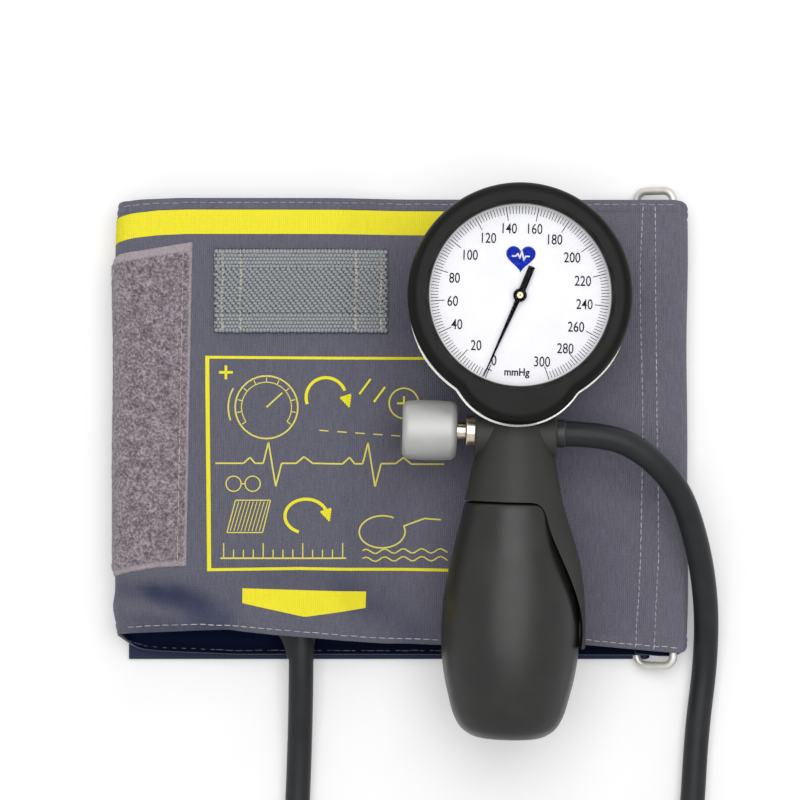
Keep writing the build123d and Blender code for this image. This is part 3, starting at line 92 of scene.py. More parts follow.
# The two cloths of the cuff, each as the corners and bends of its middle line in X and Z, in mm
OUTER_CORNERS = [(72.5, 8.15), (80.2, 8.15), (82.28, 5.0), (88.2, 5.0), (88.2, 10.2), (2.0, 10.2),
                 (-18.0, 17.4), (-86.0, 17.4), (-86.0, 5.0), (76.3, 5.0), (76.3, 1.0), (-83.1, 1.0)]
OUTER_BENDS = [1.0, 1.7, 2.58, 2.58, 12.0, 12.0, 6.19, 6.19, 1.99, 1.99]
LINING_CORNERS = [(72.5, 8.85), (80.5, 8.85), (82.58, 5.7), (87.5, 5.7), (87.5, 9.5), (69.5, 9.5),
                  (66.0, 7.3), (1.0, 7.3), (-19.0, 14.5), (-83.1, 14.5), (-83.1, 7.9), (-41.0, 7.9),
                  (-36.0, 5.7), (77.0, 5.7), (77.0, 0.3), (-83.1, 0.3)]
LINING_BENDS = [1.7, 1.0, 1.89, 1.89, 2.0, 2.0, 14.9, 9.1, 3.29, 3.29, 2.0, 2.0, 2.69, 2.69]
FOLD_X = -79.8
# The steps along these lines in mm and round their bends in degrees, and how close the cloths may lie
STRIP_STEP = 1.5
BEND_STEP = 11
CLOTHS_APART = 0.75

# Thicknesses, the bladder's edges, the ink's height over the cloth, the strap's seams and the like, in mm
OUTER_THICK = 0.8
LINING_THICK = 0.6
BLADDER_THICK = 1.2
PILE_THICK = 0.45
HOOK_TAPE_THICK = 0.4
STRAP_THICK = 0.5
INK_THICK = 0.04
DIAL_INK_THICK = 0.03
INK_LIFT = 0.09
PRINT_STEP = 1.2
AREA_ROWS = 6
# How far the stitches' ground stands over the front, on the cloth, the pile patch and the strap
CLOTH_TOP = 0.02
PILE_TOP = 1.02
STRAP_TOP = 1.12
STRAP_SEAMS = (-53.4, -47.9, -13.5, -5.9)
STRAND_RADIUS = 0.045
BLADDER_RIGHT, BLADDER_LOW, BLADDER_HIGH = 62.0, -46.0, 72.0

# Where the cloth's edges run, as X and Y in mm, on the front and on the layer under it
FRONT_LOW_HEM = [(-87.0, -53.2), (-81.4, -52.5), (-60.5, -51.6), (-51.4, -51.4), (-37.7, -52.9),
                 (-20.7, -54.4), (-3.5, -56.0), (12.7, -56.6), (57.0, -56.6), (72.0, -57.9), (85.2, -59.1),
                 (87.3, -58.8), (88.4, -57.6)]
SECOND_LOW_HEM = [(-87.0, -54.6), (-85.4, -55.3), (-83.0, -56.5), (-81.2, -57.4), (-78.8, -58.3),
                  (-73.2, -58.9), (-64.0, -59.3), (-50.0, -59.9), (78.0, -60.2)]
FRONT_HIGH_HEM = [(-87.0, 77.2), (-84.0, 78.3), (-78.0, 79.0), (-66.0, 79.5), (84.7, 79.3), (86.7, 78.8),
                  (87.8, 78.0), (88.5, 76.8)]
TAIL_LOW_Y = -61.6
TAIL_HIGH_Y = 79.2

# Soft creases on the front: start, end, breadth and height, in mm
CREASES = [(-86.0, -41.4, -74.5, -40.7, 1.9, -1.3), (-74.5, -40.7, -67.8, -41.4, 2.0, -1.3),
           (-67.8, -41.4, -60.2, -43.6, 2.2, -1.1), (-60.2, -43.6, -52.9, -47.4, 2.4, -0.8),
           (-88.0, -44.0, -78.1, -45.0, 2.2, 0.9), (-78.1, -45.0, -69.0, -47.6, 2.0, 0.8),
           (-77.5, -35.0, -71.5, -38.5, 1.6, 0.7), (-66.0, -36.5, -58.0, -40.0, 2.2, 0.6),
           (-40.0, -36.0, -20.0, -37.3, 2.2, -0.5), (-46.0, -49.4, -30.0, -50.5, 1.8, 0.4),
           (-14.0, -42.0, 4.0, -53.0, 3.0, -0.9), (-18.0, -50.5, -4.0, -54.0, 2.4, 0.5),
           (-60.0, 33.5, -50.0, 36.0, 2.5, -0.4), (-62.0, 2.0, -60.0, 30.0, 3.0, -0.2),
           (60.0, -20.0, 68.0, -48.0, 4.0, -0.4)]


def srgb(red, green, blue):
    """A colour as 0 to 255 in a picture, made linear for a shader."""
    parts = [value / 255 for value in (red, green, blue)]
    return tuple(v / 12.92 if v <= 0.04045 else ((v + 0.055) / 1.055) ** 2.4 for v in parts) + (1.0,)


def along(table, place):
    """Reads a table of place and value pairs, with straight runs between them."""
    if place <= table[0][0]:
        return table[0][1]
    for (near, low), (far, high) in zip(table, table[1:]):
        if place <= far:
            return low + (high - low) * (place - near) / (far - near)
    return table[-1][1]


def smooth(low, high, value):
    """Rises softly from 0 at low to 1 at high."""
    share = min(1.0, max(0.0, (value - low) / (high - low)))
    return share * share * (3 - 2 * share)


def swell(value, middle, breadth):
    """1 at the middle, and falls away softly to both sides."""
    return exp(-((value - middle) / breadth) ** 2)


def evenly(start, end, count):
    """Places from start to end, in so many equal steps."""
    return [start + (end - start) * step / count for step in range(count + 1)]


class StripLine:
    """The middle line of a strip of cloth in X and Z, read by the distance along it, in mm."""

    def __init__(self, corners, bends):
        points = [Vector(corners[0])]
        for before, here, after, radius in zip(corners, corners[1:], corners[2:], bends):
            run_in = (Vector(here) - Vector(before)).normalized()
            run_out = (Vector(after) - Vector(here)).normalized()
            turn = atan2(run_in.x * run_out.y - run_in.y * run_out.x, run_in.dot(run_out))
            start = Vector(here) - run_in * radius * tan(abs(turn) / 2)
            side = 1 if turn > 0 else -1
            centre = start + Vector((-run_in.y, run_in.x)) * radius * side
            steps = max(2, round(abs(turn) / radians(BEND_STEP)))
            for step in range(steps + 1):
                spin = Matrix.Rotation(turn * step / steps, 2)
                points.append(centre + spin @ (start - centre))
        points.append(Vector(corners[-1]))
        self.points = [points[0]]
        for point in points[1:]:
            gap = (point - self.points[-1]).length
            if gap < 0.02:
                continue
            pieces = max(1, round(gap / STRIP_STEP))
            last = self.points[-1]
            self.points += [last.lerp(point, (step + 1) / pieces) for step in range(pieces)]
        self.far = [0.0]
        for start, end in zip(self.points, self.points[1:]):
            self.far.append(self.far[-1] + (end - start).length)
        self.normals = []
        for index in range(len(self.points)):
            ahead = self.points[min(index + 1, len(self.points) - 1)]
            behind = self.points[max(index - 1, 0)]
            way = (ahead - behind).normalized()
            self.normals.append(Vector((way.y, -way.x)))
        self.lowest = min(range(len(self.points)), key=lambda index: self.points[index].x)
        self.fold = self.far[self.lowest]
        highest = max(range(self.lowest, len(self.points)), key=lambda index: self.points[index].x)
        self.wrap = self.far[highest]
        self.front_start = max(range(self.lowest), key=lambda index: (self.points[index].x, index))
        self.front_run = [-point.x for point in self.points[self.front_start:self.lowest + 1]]
        self.pulls = [0.0] * len(self.points)
        self.partners = None

    def layer(self, index):
        """0 on the front, 1 on the layer under it and 2 on the tail."""
        return 0 if index <= self.lowest else 1 if self.far[index] < self.wrap else 2

    def close_towards(self, other, share):
        """Sets how far the hems are drawn towards the other cloth, and the distance beside each point."""
        nearest = []
        for index, point in enumerate(self.points):
            spots = [spot for spot in range(len(other.points)) if other.layer(spot) == self.layer(index)]
            nearest.append(min(spots, key=lambda spot: (point - other.points[spot]).length))
        gaps = [max(0.0, (point - other.points[spot]).length - CLOTHS_APART) * share
                for point, spot in zip(self.points, nearest)]
        for index in range(len(gaps)):
            near = gaps[max(0, index - 3):index + 4]
            self.pulls[index] = sum(near) / len(near)
        return [other.far[spot] for spot in nearest]

    def at(self, far):
        """The point, the outward normal and the pull of the hems at that distance."""
        index = min(max(bisect_right(self.far, far) - 1, 0), len(self.points) - 2)
        share = (far - self.far[index]) / (self.far[index + 1] - self.far[index])
        point = self.points[index].lerp(self.points[index + 1], share)
        normal = self.normals[index].lerp(self.normals[index + 1], share).normalized()
        return point, normal, self.pulls[index] * (1 - share) + self.pulls[index + 1] * share

    def far_at(self, x):
        """The distance at which the front layer passes over X; past the fold it goes on round it."""
        if x < FOLD_X:
            return self.far_at(FOLD_X) + FOLD_X - x
        index = self.front_start + bisect_right(self.front_run, -x) - 1
        index = min(max(index, self.front_start), self.lowest - 1)
        start, end = self.points[index], self.points[index + 1]
        return self.far[index] + (self.far[index + 1] - self.far[index]) * (start.x - x) / (start.x - end.x)


OUTER = StripLine(OUTER_CORNERS, OUTER_BENDS)
LINING = StripLine(LINING_CORNERS, LINING_BENDS)
OUTER.close_towards(LINING, -0.28)
LINING.partners = LINING.close_towards(OUTER, 0.62)


def crease_sum(x, y, spread):
    """The creases' rise at a place, each one that many times as broad as in the list."""
    height = 0.0
    for start_x, start_y, end_x, end_y, breadth, rise in CREASES:
        run = Vector((end_x - start_x, end_y - start_y))
        share = min(1.0, max(0.0, (Vector((x - start_x, y - start_y)).dot(run)) / run.length_squared))
        apart = Vector((x - start_x, y - start_y)) - run * share
        height += rise * exp(-apart.length_squared / (2 * (spread * breadth) ** 2))
    return height


def crease_height(x, y):
    """How far the front panel stands proud of its plain shape, in mm; nothing under the gauge."""
    height = crease_sum(x, y, 1.0)
    # Slow waves, as in cloth that isn't pressed
    height += 0.16 * sin(x * 0.11 + 1.3 * sin(y * 0.06)) + 0.12 * sin(y * 0.13 + 0.9 * sin(x * 0.08 + 2.0))
    # The front panel arches open over the hose
    height += 1.3 * swell(x, -52.0, 21.0) * (1 - smooth(-52.0, -36.0, y))
    covered = smooth(-6.0, 8.0, x) * (1 - smooth(68.0, 76.0, x)) * smooth(-60.0, -50.0, y)
    return bpy.context.scene.cuff_look.crease_depth * height * (1 - covered)


def hem_edges(line, far, x):
    """The strip's lower and upper edge at that distance along it, in mm."""
    if line.partners:
        index = min(max(bisect_right(line.far, far) - 1, 0), len(line.far) - 2)
        share = (far - line.far[index]) / (line.far[index + 1] - line.far[index])
        beside = line.partners[index] * (1 - share) + line.partners[index + 1] * share
        low, high = hem_edges(OUTER, beside, OUTER.at(beside)[0].x)
        return low + 0.3, high - 0.3
    if far < line.fold - 4.0:
        turned_back = 1 - smooth(line.far[line.front_start] - 6.0, line.far[line.front_start] - 1.0, far)
        return along(FRONT_LOW_HEM, x) - 1.6 * turned_back, along(FRONT_HIGH_HEM, x)
    if far < line.wrap:
        share = smooth(line.fold - 4.0, line.fold + 8.0, far)
        low = along(FRONT_LOW_HEM, x) * (1 - share) + along(SECOND_LOW_HEM, x) * share
        return low, along(FRONT_HIGH_HEM, x) * (1 - share) + TAIL_HIGH_Y * share
    return TAIL_LOW_Y, TAIL_HIGH_Y


def cloth_point(line, far, y, lift):
    """A point in metres on one of the cuff's cloths, lifted off its middle line, in mm."""
    point, normal, pull = line.at(far)
    low, high = hem_edges(line, far, point.x)
    rise = lift
    if far < line.fold + 10.0:
        fade = 1 - smooth(line.fold - 4.0, line.fold + 10.0, far)
        unrolled = point.x if point.x > FOLD_X else FOLD_X - (far - line.far_at(FOLD_X))
        shown = smooth(0.0, 22.0, far)
        rise += crease_height(unrolled, y) * fade * shown
    # The fold swells a little under the pile patch and below it
    rise += swell(far, line.fold, 7.0) * (0.05 * swell(y, -45.0, 8.0) - 0.35 * swell(y, 74.0, 8.0) - 0.1)
    # Both cloths close up towards their hems
    rise += pull * (1 - smooth(0.0, 5.5, min(y - low, high - y)))
    spot = point + normal * rise
    return Vector((spot.x, y, spot.y)) * MM


def on_front(x, y, lift):
    """A point in metres on the front of the cuff's outer cloth, that far over its surface, in mm."""
    return cloth_point(OUTER, OUTER.far_at(x), y, OUTER_THICK / 2 + lift)


def settle(piece, body, shade, place=None):
    """Puts a finished piece in the row frame and on its body, with its material."""
    if place is not None:
        piece.data.transform(place)
    piece.location = (0, 0, 0)
    piece.rotation_euler = (0, 0, 0)
    piece.scale = (1, 1, 1)
    piece.data.materials.clear()
    piece.data.materials.append(shade)
    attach(piece, body)


def select_only(piece):
    """Selects and activates just this object."""
    bpy.ops.object.select_all(action="DESELECT")
    piece.select_set(True)
    bpy.context.view_layer.objects.active = piece


def apply_all(piece):
    """Applies every modifier on the piece."""
    select_only(piece)
    for modifier in list(piece.modifiers):
        bpy.ops.object.modifier_apply(modifier=modifier.name)


def smooth_faces(piece, angle):
    """Shades the piece smooth, with its corners over that many degrees kept crisp."""
    select_only(piece)
    bpy.ops.object.shade_smooth_by_angle(angle=radians(angle))


def new_mesh(name, points, faces, marks=None):
    """An object made of these points and faces, with the given UV marks for each point."""
    mesh = bpy.data.meshes.new(name)
    mesh.from_pydata(points, [], faces)
    if marks is not None:
        layer = mesh.uv_layers.new(name="Cloth")
        for loop in mesh.loops:
            layer.data[loop.index].uv = marks[loop.vertex_index]
    piece = bpy.data.objects.new(name, mesh)
    bpy.context.scene.collection.objects.link(piece)
    return piece


def grid_faces(columns, rows):
    """Quads between the points of a grid that are listed column by column."""
    return [(first, first + 1, first + rows + 1, first + rows) for column in range(columns - 1)
            for first in range(column * rows, column * rows + rows - 1)]


def keep_values(piece, name, values):
    """Keeps a value for each point of the piece, which its material reads."""
    kept = piece.data.attributes.new(name, "FLOAT", "POINT")
    for index, value in enumerate(values):
        kept.data[index].value = value


def give_wall(piece, thickness, offset):
    """Gives a sheet its thickness in mm: under its faces at -1, to both sides at 0, over them at 1."""
    wall = piece.modifiers.new("Wall", "SOLIDIFY")
    wall.thickness = thickness * MM
    wall.offset = offset
    apply_all(piece)


def weave_mark(along_cloth, across_cloth):
    """The UV mark of a place on a cloth, in tenths of a metre, from its distances in mm."""
    return along_cloth / 100, across_cloth / 100


def sheet_mesh(name, columns, rows, spot, mark=weave_mark):
    """A sheet of cloth over a grid of columns and rows, still without a thickness."""
    grid = [(column, row) for column in columns for row in rows]
    return new_mesh(name, [spot(*place) for place in grid], grid_faces(len(columns), len(rows)),
                    [mark(*place) for place in grid])


def turned(name, profile, steps, closed=False):
    """A piece spun round the Z axis from its profile of radius and height, in mm."""
    bpy.ops.object.select_all(action="DESELECT")
    bpy.ops.mesh.primitive_plane_add(size=MM)
    piece = bpy.context.object
    piece.name = name
    bpy.ops.object.mode_set(mode="EDIT")
    bpy.ops.mesh.select_all(action="SELECT")
    bpy.ops.mesh.merge(type="CENTER")
    radius, height = profile[0]
    bpy.ops.transform.translate(value=(radius * MM, 0, height * MM))
    for (radius, height), (next_radius, next_height) in zip(profile, profile[1:]):
        step = ((next_radius - radius) * MM, 0, (next_height - height) * MM)
        bpy.ops.mesh.extrude_region_move(TRANSFORM_OT_translate={"value": step})
    if closed:
        bpy.ops.object.mode_set(mode="OBJECT")
        for vertex in piece.data.vertices:
            vertex.select = False
        piece.data.vertices[0].select = True
        piece.data.vertices[len(profile) - 1].select = True
        bpy.ops.object.mode_set(mode="EDIT")
        bpy.ops.mesh.edge_face_add()
    bpy.ops.mesh.select_all(action="SELECT")
    bpy.ops.mesh.spin(steps=steps, angle=2 * pi, center=(0, 0, 0), axis=(0, 0, 1))
    bpy.ops.mesh.select_all(action="SELECT")
    bpy.ops.mesh.remove_doubles(threshold=0.000004)
    bpy.ops.mesh.normals_make_consistent(inside=False)
    bpy.ops.object.mode_set(mode="OBJECT")
    smooth_faces(piece, 40)
    return piece


def eased(points, steps):
    """A smooth line through the points of a turned piece's profile, with steps between each two."""
    line = [points[0]]
    ends = [points[0]] + list(points) + [points[-1]]
    for before, start, end, after in zip(ends, ends[1:], ends[2:], ends[3:]):
        for step in range(1, steps + 1):
            t = step / steps
            line.append(tuple(
                0.5 * (2 * b + (c - a) * t + (2 * a - 5 * b + 4 * c - d) * t * t
                       + (3 * b - a - 3 * c + d) * t ** 3)
                for a, b, c, d in zip(before, start, end, after)))
    return line


def copies(name, pattern, places):
    """One object with a copy of the pattern's mesh at each place; the pattern is removed."""
    points = []
    faces = []
    source = [vertex.co.copy() for vertex in pattern.data.vertices]
    polygons = [tuple(polygon.vertices) for polygon in pattern.data.polygons]
    for place in places:
        first = len(points)
        points += [place @ point for point in source]
        faces += [tuple(first + index for index in polygon) for polygon in polygons]
    bpy.data.objects.remove(pattern)
    return new_mesh(name, points, faces)


def joined(name, parts):
    """Joins the parts into one named object."""
    bpy.ops.object.select_all(action="DESELECT")
    for part in parts:
        part.select_set(True)
    bpy.context.view_layer.objects.active = parts[0]
    bpy.ops.object.join()
    parts[0].name = name
    return parts[0]


def stitch_pattern():
    """One short stitch of thread along X, a millimetre long, with thin ends."""
    bpy.ops.object.select_all(action="DESELECT")
    bpy.ops.mesh.primitive_uv_sphere_add(segments=6, ring_count=5, radius=0.5 * MM)
    stitch = bpy.context.object
    bpy.ops.object.mode_set(mode="EDIT")
    bpy.ops.mesh.select_all(action="SELECT")
    bpy.ops.transform.rotate(value=radians(90), orient_axis="Y", center_override=(0, 0, 0))
    bpy.ops.object.mode_set(mode="OBJECT")
    return stitch


def stitch_row(name, line, spot, length, thick, shade, wander, zigzag=0.0):
    """A row of stitches that follows a line of X, Y points over a surface, in mm."""
    rng = random.Random(name)
    samples = []
    for (start_x, start_y), (end_x, end_y) in zip(line, line[1:]):
        run = Vector((end_x - start_x, end_y - start_y))
        count = max(1, round(run.length / length))
        for step in range(count):
            near = (step + 0.04) / count
            far = (step + 0.9) / count
            samples.append((start_x + run.x * near, start_y + run.y * near,
                            start_x + run.x * far, start_y + run.y * far))
    places = []
    for start_x, start_y, end_x, end_y in samples:
        shift = rng.uniform(-wander, wander)
        sideways = rng.uniform(-wander, wander) if abs(end_y - start_y) > abs(end_x - start_x) else 0.0
        sideways += zigzag if len(places) % 2 else -zigzag
        start = spot(start_x + sideways, start_y + shift, thick * 0.2)
        end = spot(end_x - sideways, end_y + shift, thick * 0.2)
        along_thread = (end - start).normalized()
        across = Vector((0, 0, 1)).cross(along_thread).normalized()
        turn = Matrix((along_thread, across, along_thread.cross(across))).transposed().to_4x4()
        size = Matrix.Diagonal(((end - start).length / MM, thick, thick, 1))
        places.append(Matrix.Translation((start + end) / 2) @ turn @ size)
    row = copies(name, stitch_pattern(), places)
    smooth_faces(row, 80)
    settle(row, "base", material(shade))


# Node helpers

def node(tree, kind, inputs=None, **settings):
    """Adds a shader node to the tree, with its settings and its inputs as values or sockets."""
    made = tree.nodes.new("ShaderNode" + kind)
    for key, value in settings.items():
        setattr(made, key, value)
    for key, value in (inputs or {}).items():
        if isinstance(value, bpy.types.NodeSocket):
            tree.links.new(value, made.inputs[key])
        else:
            made.inputs[key].default_value = value
    return made


def maths(tree, operation, *values):
    """The result of an operation on values or sockets."""
    return node(tree, "Math", dict(enumerate(values)), operation=operation).outputs[0]


def noise(tree, place, scale, detail=2.0, roughness=0.5):
    """Soft noise over the place."""
    return node(tree, "TexNoise", {"Vector": place, "Scale": scale, "Detail": detail,
                                   "Roughness": roughness}).outputs[0]


def ranged(tree, value, low, high, to_low=0.0, to_high=1.0):
    """The value brought from one range to another, and held inside it."""
    return node(tree, "MapRange", {"Value": value, "From Min": low, "From Max": high,
                                   "To Min": to_low, "To Max": to_high}).outputs[0]


def tinted(tree, factor, low, high, low_at=-1.0, high_at=1.0):
    """A colour that goes from low to high, each a value or a socket, with the factor."""
    share = ranged(tree, factor, low_at, high_at)
    return node(tree, "Mix", {0: share, 6: low, 7: high}, data_type="RGBA").outputs[2]


def stored(tree, name):
    """A value that is kept on the piece's own points."""
    return node(tree, "Attribute", attribute_name=name).outputs["Fac"]


def object_place(tree):
    """The piece's own coordinates, in metres."""
    return node(tree, "TexCoord").outputs["Object"]


def cloth_place(tree):
    """The place along and across the piece's own cloth, in tenths of a metre."""
    return node(tree, "UVMap", uv_map="Cloth").outputs["UV"]


def bumped(tree, shader, height, distance, strength=1.0):
    """Feeds a height, in the material's own units, to the shader's normal."""
    bump = node(tree, "Bump", {"Height": height, "Distance": distance, "Strength": strength})
    tree.links.new(bump.outputs[0], shader.inputs["Normal"])


def seen_ray(tree):
    """1 where the camera sees the surroundings, directly or in metal and glass, and 0 for their light."""
    path = node(tree, "LightPath").outputs
    seen = maths(tree, "MAXIMUM", path["Is Camera Ray"], path["Is Glossy Ray"])
    return maths(tree, "MAXIMUM", seen, path["Is Transmission Ray"])


def new_group(name, inputs, outputs):
    """An empty shader node group with float or vector sockets."""
    group = bpy.data.node_groups.new(name, "ShaderNodeTree")
    for socket, kind, value in inputs:
        made = group.interface.new_socket(socket, in_out="INPUT", socket_type=kind)
        if value is not None:
            made.default_value = value
    for socket in outputs:
        group.interface.new_socket(socket, in_out="OUTPUT", socket_type="NodeSocketFloat")
    start = group.nodes.new("NodeGroupInput")
    end = group.nodes.new("NodeGroupOutput")
    return group, start.outputs, end.inputs


def canvas_group():
    """Plain woven cloth: warp and weft ribs, with threads that differ a little from each other."""
    group, given, out = new_group(
        "Canvas weave", [("Vector", "NodeSocketVector", None), ("Threads", "NodeSocketFloat", 160.0),
                         ("Unevenness", "NodeSocketFloat", 1.0)], ["Height", "Shade"])
    warp = node(group, "VectorMath", {0: given["Vector"], "Scale": given["Threads"]},
                operation="SCALE").outputs[0]
    wobble = node(group, "TexNoise", {"Vector": warp, "Scale": 0.35, "Detail": 2.0}).outputs["Color"]
    bent = node(group, "VectorMath", {0: wobble, 1: (0.5, 0.5, 0.5), 2: warp}, operation="MULTIPLY_ADD")
    parts = node(group, "SeparateXYZ", {0: bent.outputs[0]}).outputs
    ribs = []
    for axis, strength in (("X", 0.62), ("Y", 0.38)):
        wave = maths(group, "COSINE", maths(group, "MULTIPLY", parts[axis], 2 * pi))
        ribs.append(maths(group, "MULTIPLY", wave, strength))
    height = maths(group, "ADD", *ribs)
    stretch = node(group, "VectorMath", {0: warp, 1: (1.0, 0.13, 1.0)}, operation="MULTIPLY").outputs[0]
    uneven = maths(group, "ADD", noise(group, stretch, 1.0), noise(group, warp, 0.9, 3.0))
    spread = maths(group, "MULTIPLY", maths(group, "SUBTRACT", uneven, 1.0), given["Unevenness"])
    group.links.new(height, out["Height"])
    group.links.new(maths(group, "MULTIPLY_ADD", height, 0.22, spread), out["Shade"])


def grain_group():
    """Fine moulded grain, with broader soft marks from handling."""
    group, given, out = new_group(
        "Moulded grain", [("Vector", "NodeSocketVector", None), ("Scale", "NodeSocketFloat", 2500.0)],
        ["Height", "Marks"])
    group.links.new(noise(group, given["Vector"], given["Scale"], 3.0), out["Height"])
    broad = noise(group, given["Vector"], 90.0, 4.0, 0.6)
    group.links.new(ranged(group, broad, 0.35, 0.7), out["Marks"])


def use_group(tree, group, vector, **values):
    """Places a node group in a material with its own values, and gives its outputs."""
    placed = node(tree, "Group", node_tree=bpy.data.node_groups[group])
    tree.links.new(vector, placed.inputs["Vector"])
    for key, value in values.items():
        placed.inputs[key].default_value = value
    return placed.outputs


# Materials, each made by one function from its colours and measures

def blank_material(name, roughness, **sockets):
    """A material with one Principled shader; gives the material, its tree, the shader and its colour."""
    made = bpy.data.materials.new(name)
    made.use_nodes = True
    shader = made.node_tree.nodes["Principled BSDF"]
    shader.inputs["Roughness"].default_value = roughness
    for key, value in sockets.items():
        shader.inputs[key.replace("_", " ")].default_value = value
    return made, made.node_tree, shader, shader.inputs["Base Color"]


def canvas_material(name, low, high, worn, threads, bump, roughness, **sockets):
    """A matte woven cloth between two colours, with a third for painted shade and for the navy edges by the
    hems.
    """
    made, tree, shader, colour = blank_material(name, roughness, **sockets)
    weave = use_group(tree, "Canvas weave", cloth_place(tree), Threads=threads)
    cloth = tinted(tree, weave["Shade"], low, high, -0.45, 0.45)
    # Painted shade, and the navy edges by the hems, as kept on the cloth's points
    tree.links.new(tinted(tree, stored(tree, "worn"), cloth, worn, 0.0, 1.1), colour)
    bumped(tree, shader, weave["Height"], bump)
    return made


def moulded_material(name, low, high, roughness, scale=2500.0, bump=0.00002, **sockets):
    """Moulded rubber or plastic with a fine grain and soft marks."""
    made, tree, shader, colour = blank_material(name, roughness, **sockets)
    grain = use_group(tree, "Moulded grain", object_place(tree), Scale=scale)
    tree.links.new(tinted(tree, grain["Marks"], low, high, 0.0, 1.0), colour)
    rough = ranged(tree, grain["Marks"], 0.0, 1.0, roughness - 0.06, roughness + 0.06)
    tree.links.new(rough, shader.inputs["Roughness"])
    bumped(tree, shader, grain["Height"], bump)
    return made


def metal_material(name, low, high, roughness):
    """A turned or brushed metal."""
    made, tree, shader, colour = blank_material(name, roughness, Metallic=1.0)
    place = object_place(tree)
    brush = noise(tree, place, 2200.0, 4.0)
    marks = use_group(tree, "Moulded grain", place, Scale=600.0)["Marks"]
    tree.links.new(tinted(tree, brush, low, high, 0.3, 0.7), colour)
    rough = ranged(tree, marks, 0.0, 1.0, roughness - 0.05, roughness + 0.08)
    tree.links.new(rough, shader.inputs["Roughness"])
    bumped(tree, shader, brush, 0.000004)
    return made


def pile_material(name, dark, middle, light):
    """Napped pile: fine speckles over soft blotches, paler and smooth along the woven edges."""
    made, tree, shader, colour = blank_material(name, 0.95, Sheen_Weight=0.4, Specular_IOR_Level=0.1)
    place = object_place(tree)
    mixed = maths(tree, "MULTIPLY_ADD", noise(tree, place, 1250.0, 2.0, 0.6), 2.6, noise(tree, place, 330.0))
    ramp = node(tree, "ValToRGB", {0: ranged(tree, mixed, 1.25, 2.35)})
    ramp.color_ramp.elements[0].color = dark
    ramp.color_ramp.elements[1].color = light
    ramp.color_ramp.elements.new(0.5).color = middle
    tree.links.new(tinted(tree, stored(tree, "selvage"), ramp.outputs[0], light, 0.0, 1.0), colour)
    bumped(tree, shader, mixed, 0.0005, 0.9)
    return made


def webbing_material(name, deep, high):
    """Coarse webbing: painted shade between its threads and paler tops on them, with fine fibres."""
    made, tree, shader, colour = blank_material(name, 0.75, Sheen_Weight=0.1, Specular_IOR_Level=0.2)
    stretch = node(tree, "Mapping", {"Vector": object_place(tree), "Scale": (1.0, 6.0, 1.0)})
    fibre = noise(tree, stretch.outputs[0], 900.0)
    # Painted shade between the threads and paler tops, from the weave's height kept on the points
    mixed = maths(tree, "MULTIPLY_ADD", fibre, 0.7, stored(tree, "weave_height"))
    tree.links.new(tinted(tree, mixed, deep, high, 0.5, 1.2), colour)
    bumped(tree, shader, fibre, 0.00008)
    return made


def ink_material(name, colour, roughness, threads=0.0):
    """Printed ink; on cloth, with its number of threads, it lets the weave through."""
    made, tree, shader, base = blank_material(name, roughness, Specular_IOR_Level=0.0)
    deep, pale = scaled(colour, 0.92), scaled(colour, 1.06)
    if threads:
        weave = use_group(tree, "Canvas weave", cloth_place(tree), Threads=threads)
        tree.links.new(tinted(tree, weave["Shade"], deep, pale, -0.45, 0.45), base)
        bumped(tree, shader, weave["Height"], 0.00005)
    else:
        grain = use_group(tree, "Moulded grain", object_place(tree), Scale=1800.0)
        tree.links.new(tinted(tree, grain["Height"], deep, pale, 0.2, 0.8), base)
    return made


def lens_material(name, roughness, ior):
    """Clear plastic with a trace of dust, which lets the lamps' light through to the dial."""
    made, tree, shader, _ = blank_material(name, roughness, IOR=ior, Transmission_Weight=1.0)
    dust = noise(tree, object_place(tree), 700.0)
    tree.links.new(ranged(tree, dust, 0.6, 0.8, 0.0, 0.012), shader.inputs["Roughness"])
    shadow = node(tree, "LightPath").outputs["Is Shadow Ray"]
    clear = node(tree, "BsdfTransparent").outputs[0]
    mix = node(tree, "MixShader", {0: shadow, 1: shader.outputs[0], 2: clear})
    tree.links.new(mix.outputs[0], tree.nodes["Material Output"].inputs["Surface"])
    return made


def scaled(colour, share):
    """The colour made darker or lighter by a share."""
    return tuple(min(1.0, value * share) for value in colour[:3]) + (1.0,)


